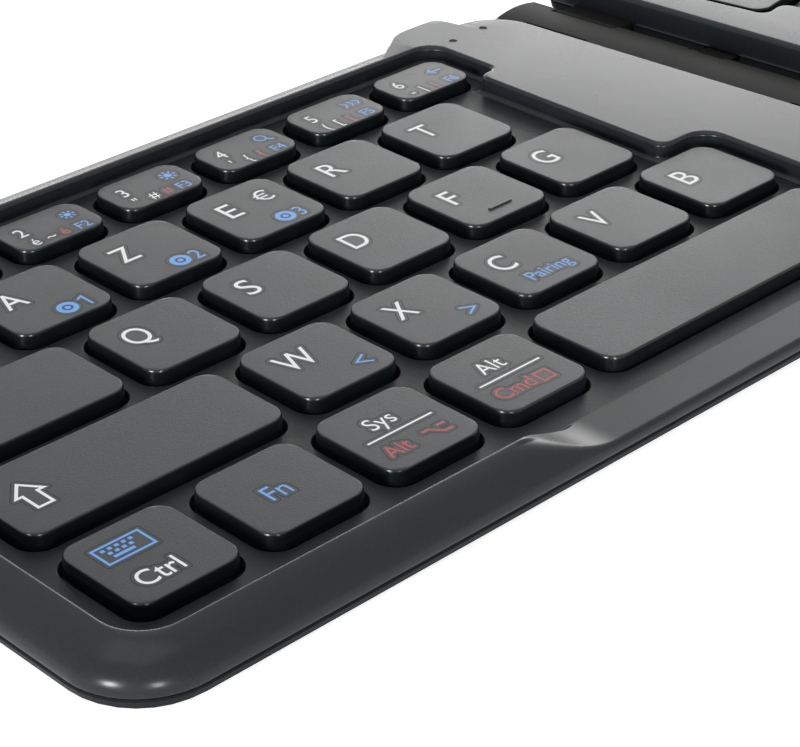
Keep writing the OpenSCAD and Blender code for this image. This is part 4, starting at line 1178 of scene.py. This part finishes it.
floor_mat = bpy.data.materials.new("floor_paper")
floor_mat.use_nodes = True
nt = floor_mat.node_tree
bsdf = nt.nodes["Principled BSDF"]
put(bsdf, {"Base Color": (0.85, 0.85, 0.85, 1), "Roughness": 0.9})
glow = nt.nodes.new("ShaderNodeEmission")
glow.inputs["Color"].default_value = (1, 1, 1, 1)
scale = nt.nodes.new("ShaderNodeMath")
scale.operation = "MULTIPLY"
scale.inputs[1].default_value = 0.72
nt.links.new(seen_by_camera(nt), scale.inputs[0])
nt.links.new(scale.outputs[0], glow.inputs["Strength"])
both = nt.nodes.new("ShaderNodeAddShader")
nt.links.new(bsdf.outputs[0], both.inputs[0])
nt.links.new(glow.outputs[0], both.inputs[1])
nt.links.new(both.outputs[0], nt.nodes["Material Output"].inputs["Surface"])
mesh = bpy.data.meshes.new("floor")
mesh.from_pydata([(-6, -6, 0), (6, -6, 0), (6, 6, 0), (-6, 6, 0)], [], [(0, 1, 2, 3)])
mesh.materials.append(floor_mat)
floor = bpy.data.objects.new("floor", mesh)
scene.collection.objects.link(floor)
floor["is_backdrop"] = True


def softbox(name, at, aim, size, power):
    light = bpy.data.lights.new(name, "AREA")
    light.shape = "RECTANGLE"
    light.size, light.size_y = size
    light.energy = power
    obj = bpy.data.objects.new(name, light)
    scene.collection.objects.link(obj)
    obj.location = at
    obj.rotation_euler = (Vector(aim) - Vector(at)).to_track_quat("-Z", "Y").to_euler()


# softboxes behind the object: first and last direction in degrees, lower and upper edge in metres, power
RADIUS = 1.5
for name, a0, a1, z0, z1, power in (
        ("rear_softbox_low", 26, 44, 0.2, 0.36, 1.35), ("rear_softbox", 26, 44, 0.36, 0.56, 1.5),
        ("rear_softbox_top", 26, 44, 0.56, 0.9, 1.0), ("side_softbox", 44, 62, 0.2, 0.36, 1.7)):
    a = math.radians((a0 + a1) / 2)
    softbox(name, (RADIUS * math.cos(a), RADIUS * math.sin(a), (z0 + z1) / 2), (0, 0, 0.35 * (z0 + z1) / 2),
            (2 * RADIUS * math.tan(math.radians((a1 - a0) / 2)), z1 - z0), power)
softbox("top_softbox", (-0.1, 0.2, 1.3), (-0.05, 0.0, 0.0), (1.0, 1.0), 3.4)
# two upright strips beside the camera, which give the near corners their highlights
for name, turn, width, power in (("strip_left", -24, 0.17, 8.0), ("strip_right", 20, 0.07, 4.0)):
    a = math.radians(turn) + math.atan2(-0.196, -0.31)
    softbox(name, (math.cos(a), math.sin(a), 0.13), (-0.05, 0, 0.13), (width, 0.22), power)

low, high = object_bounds()
{"cad": cad_box, "visual": [list(low), list(high)]}
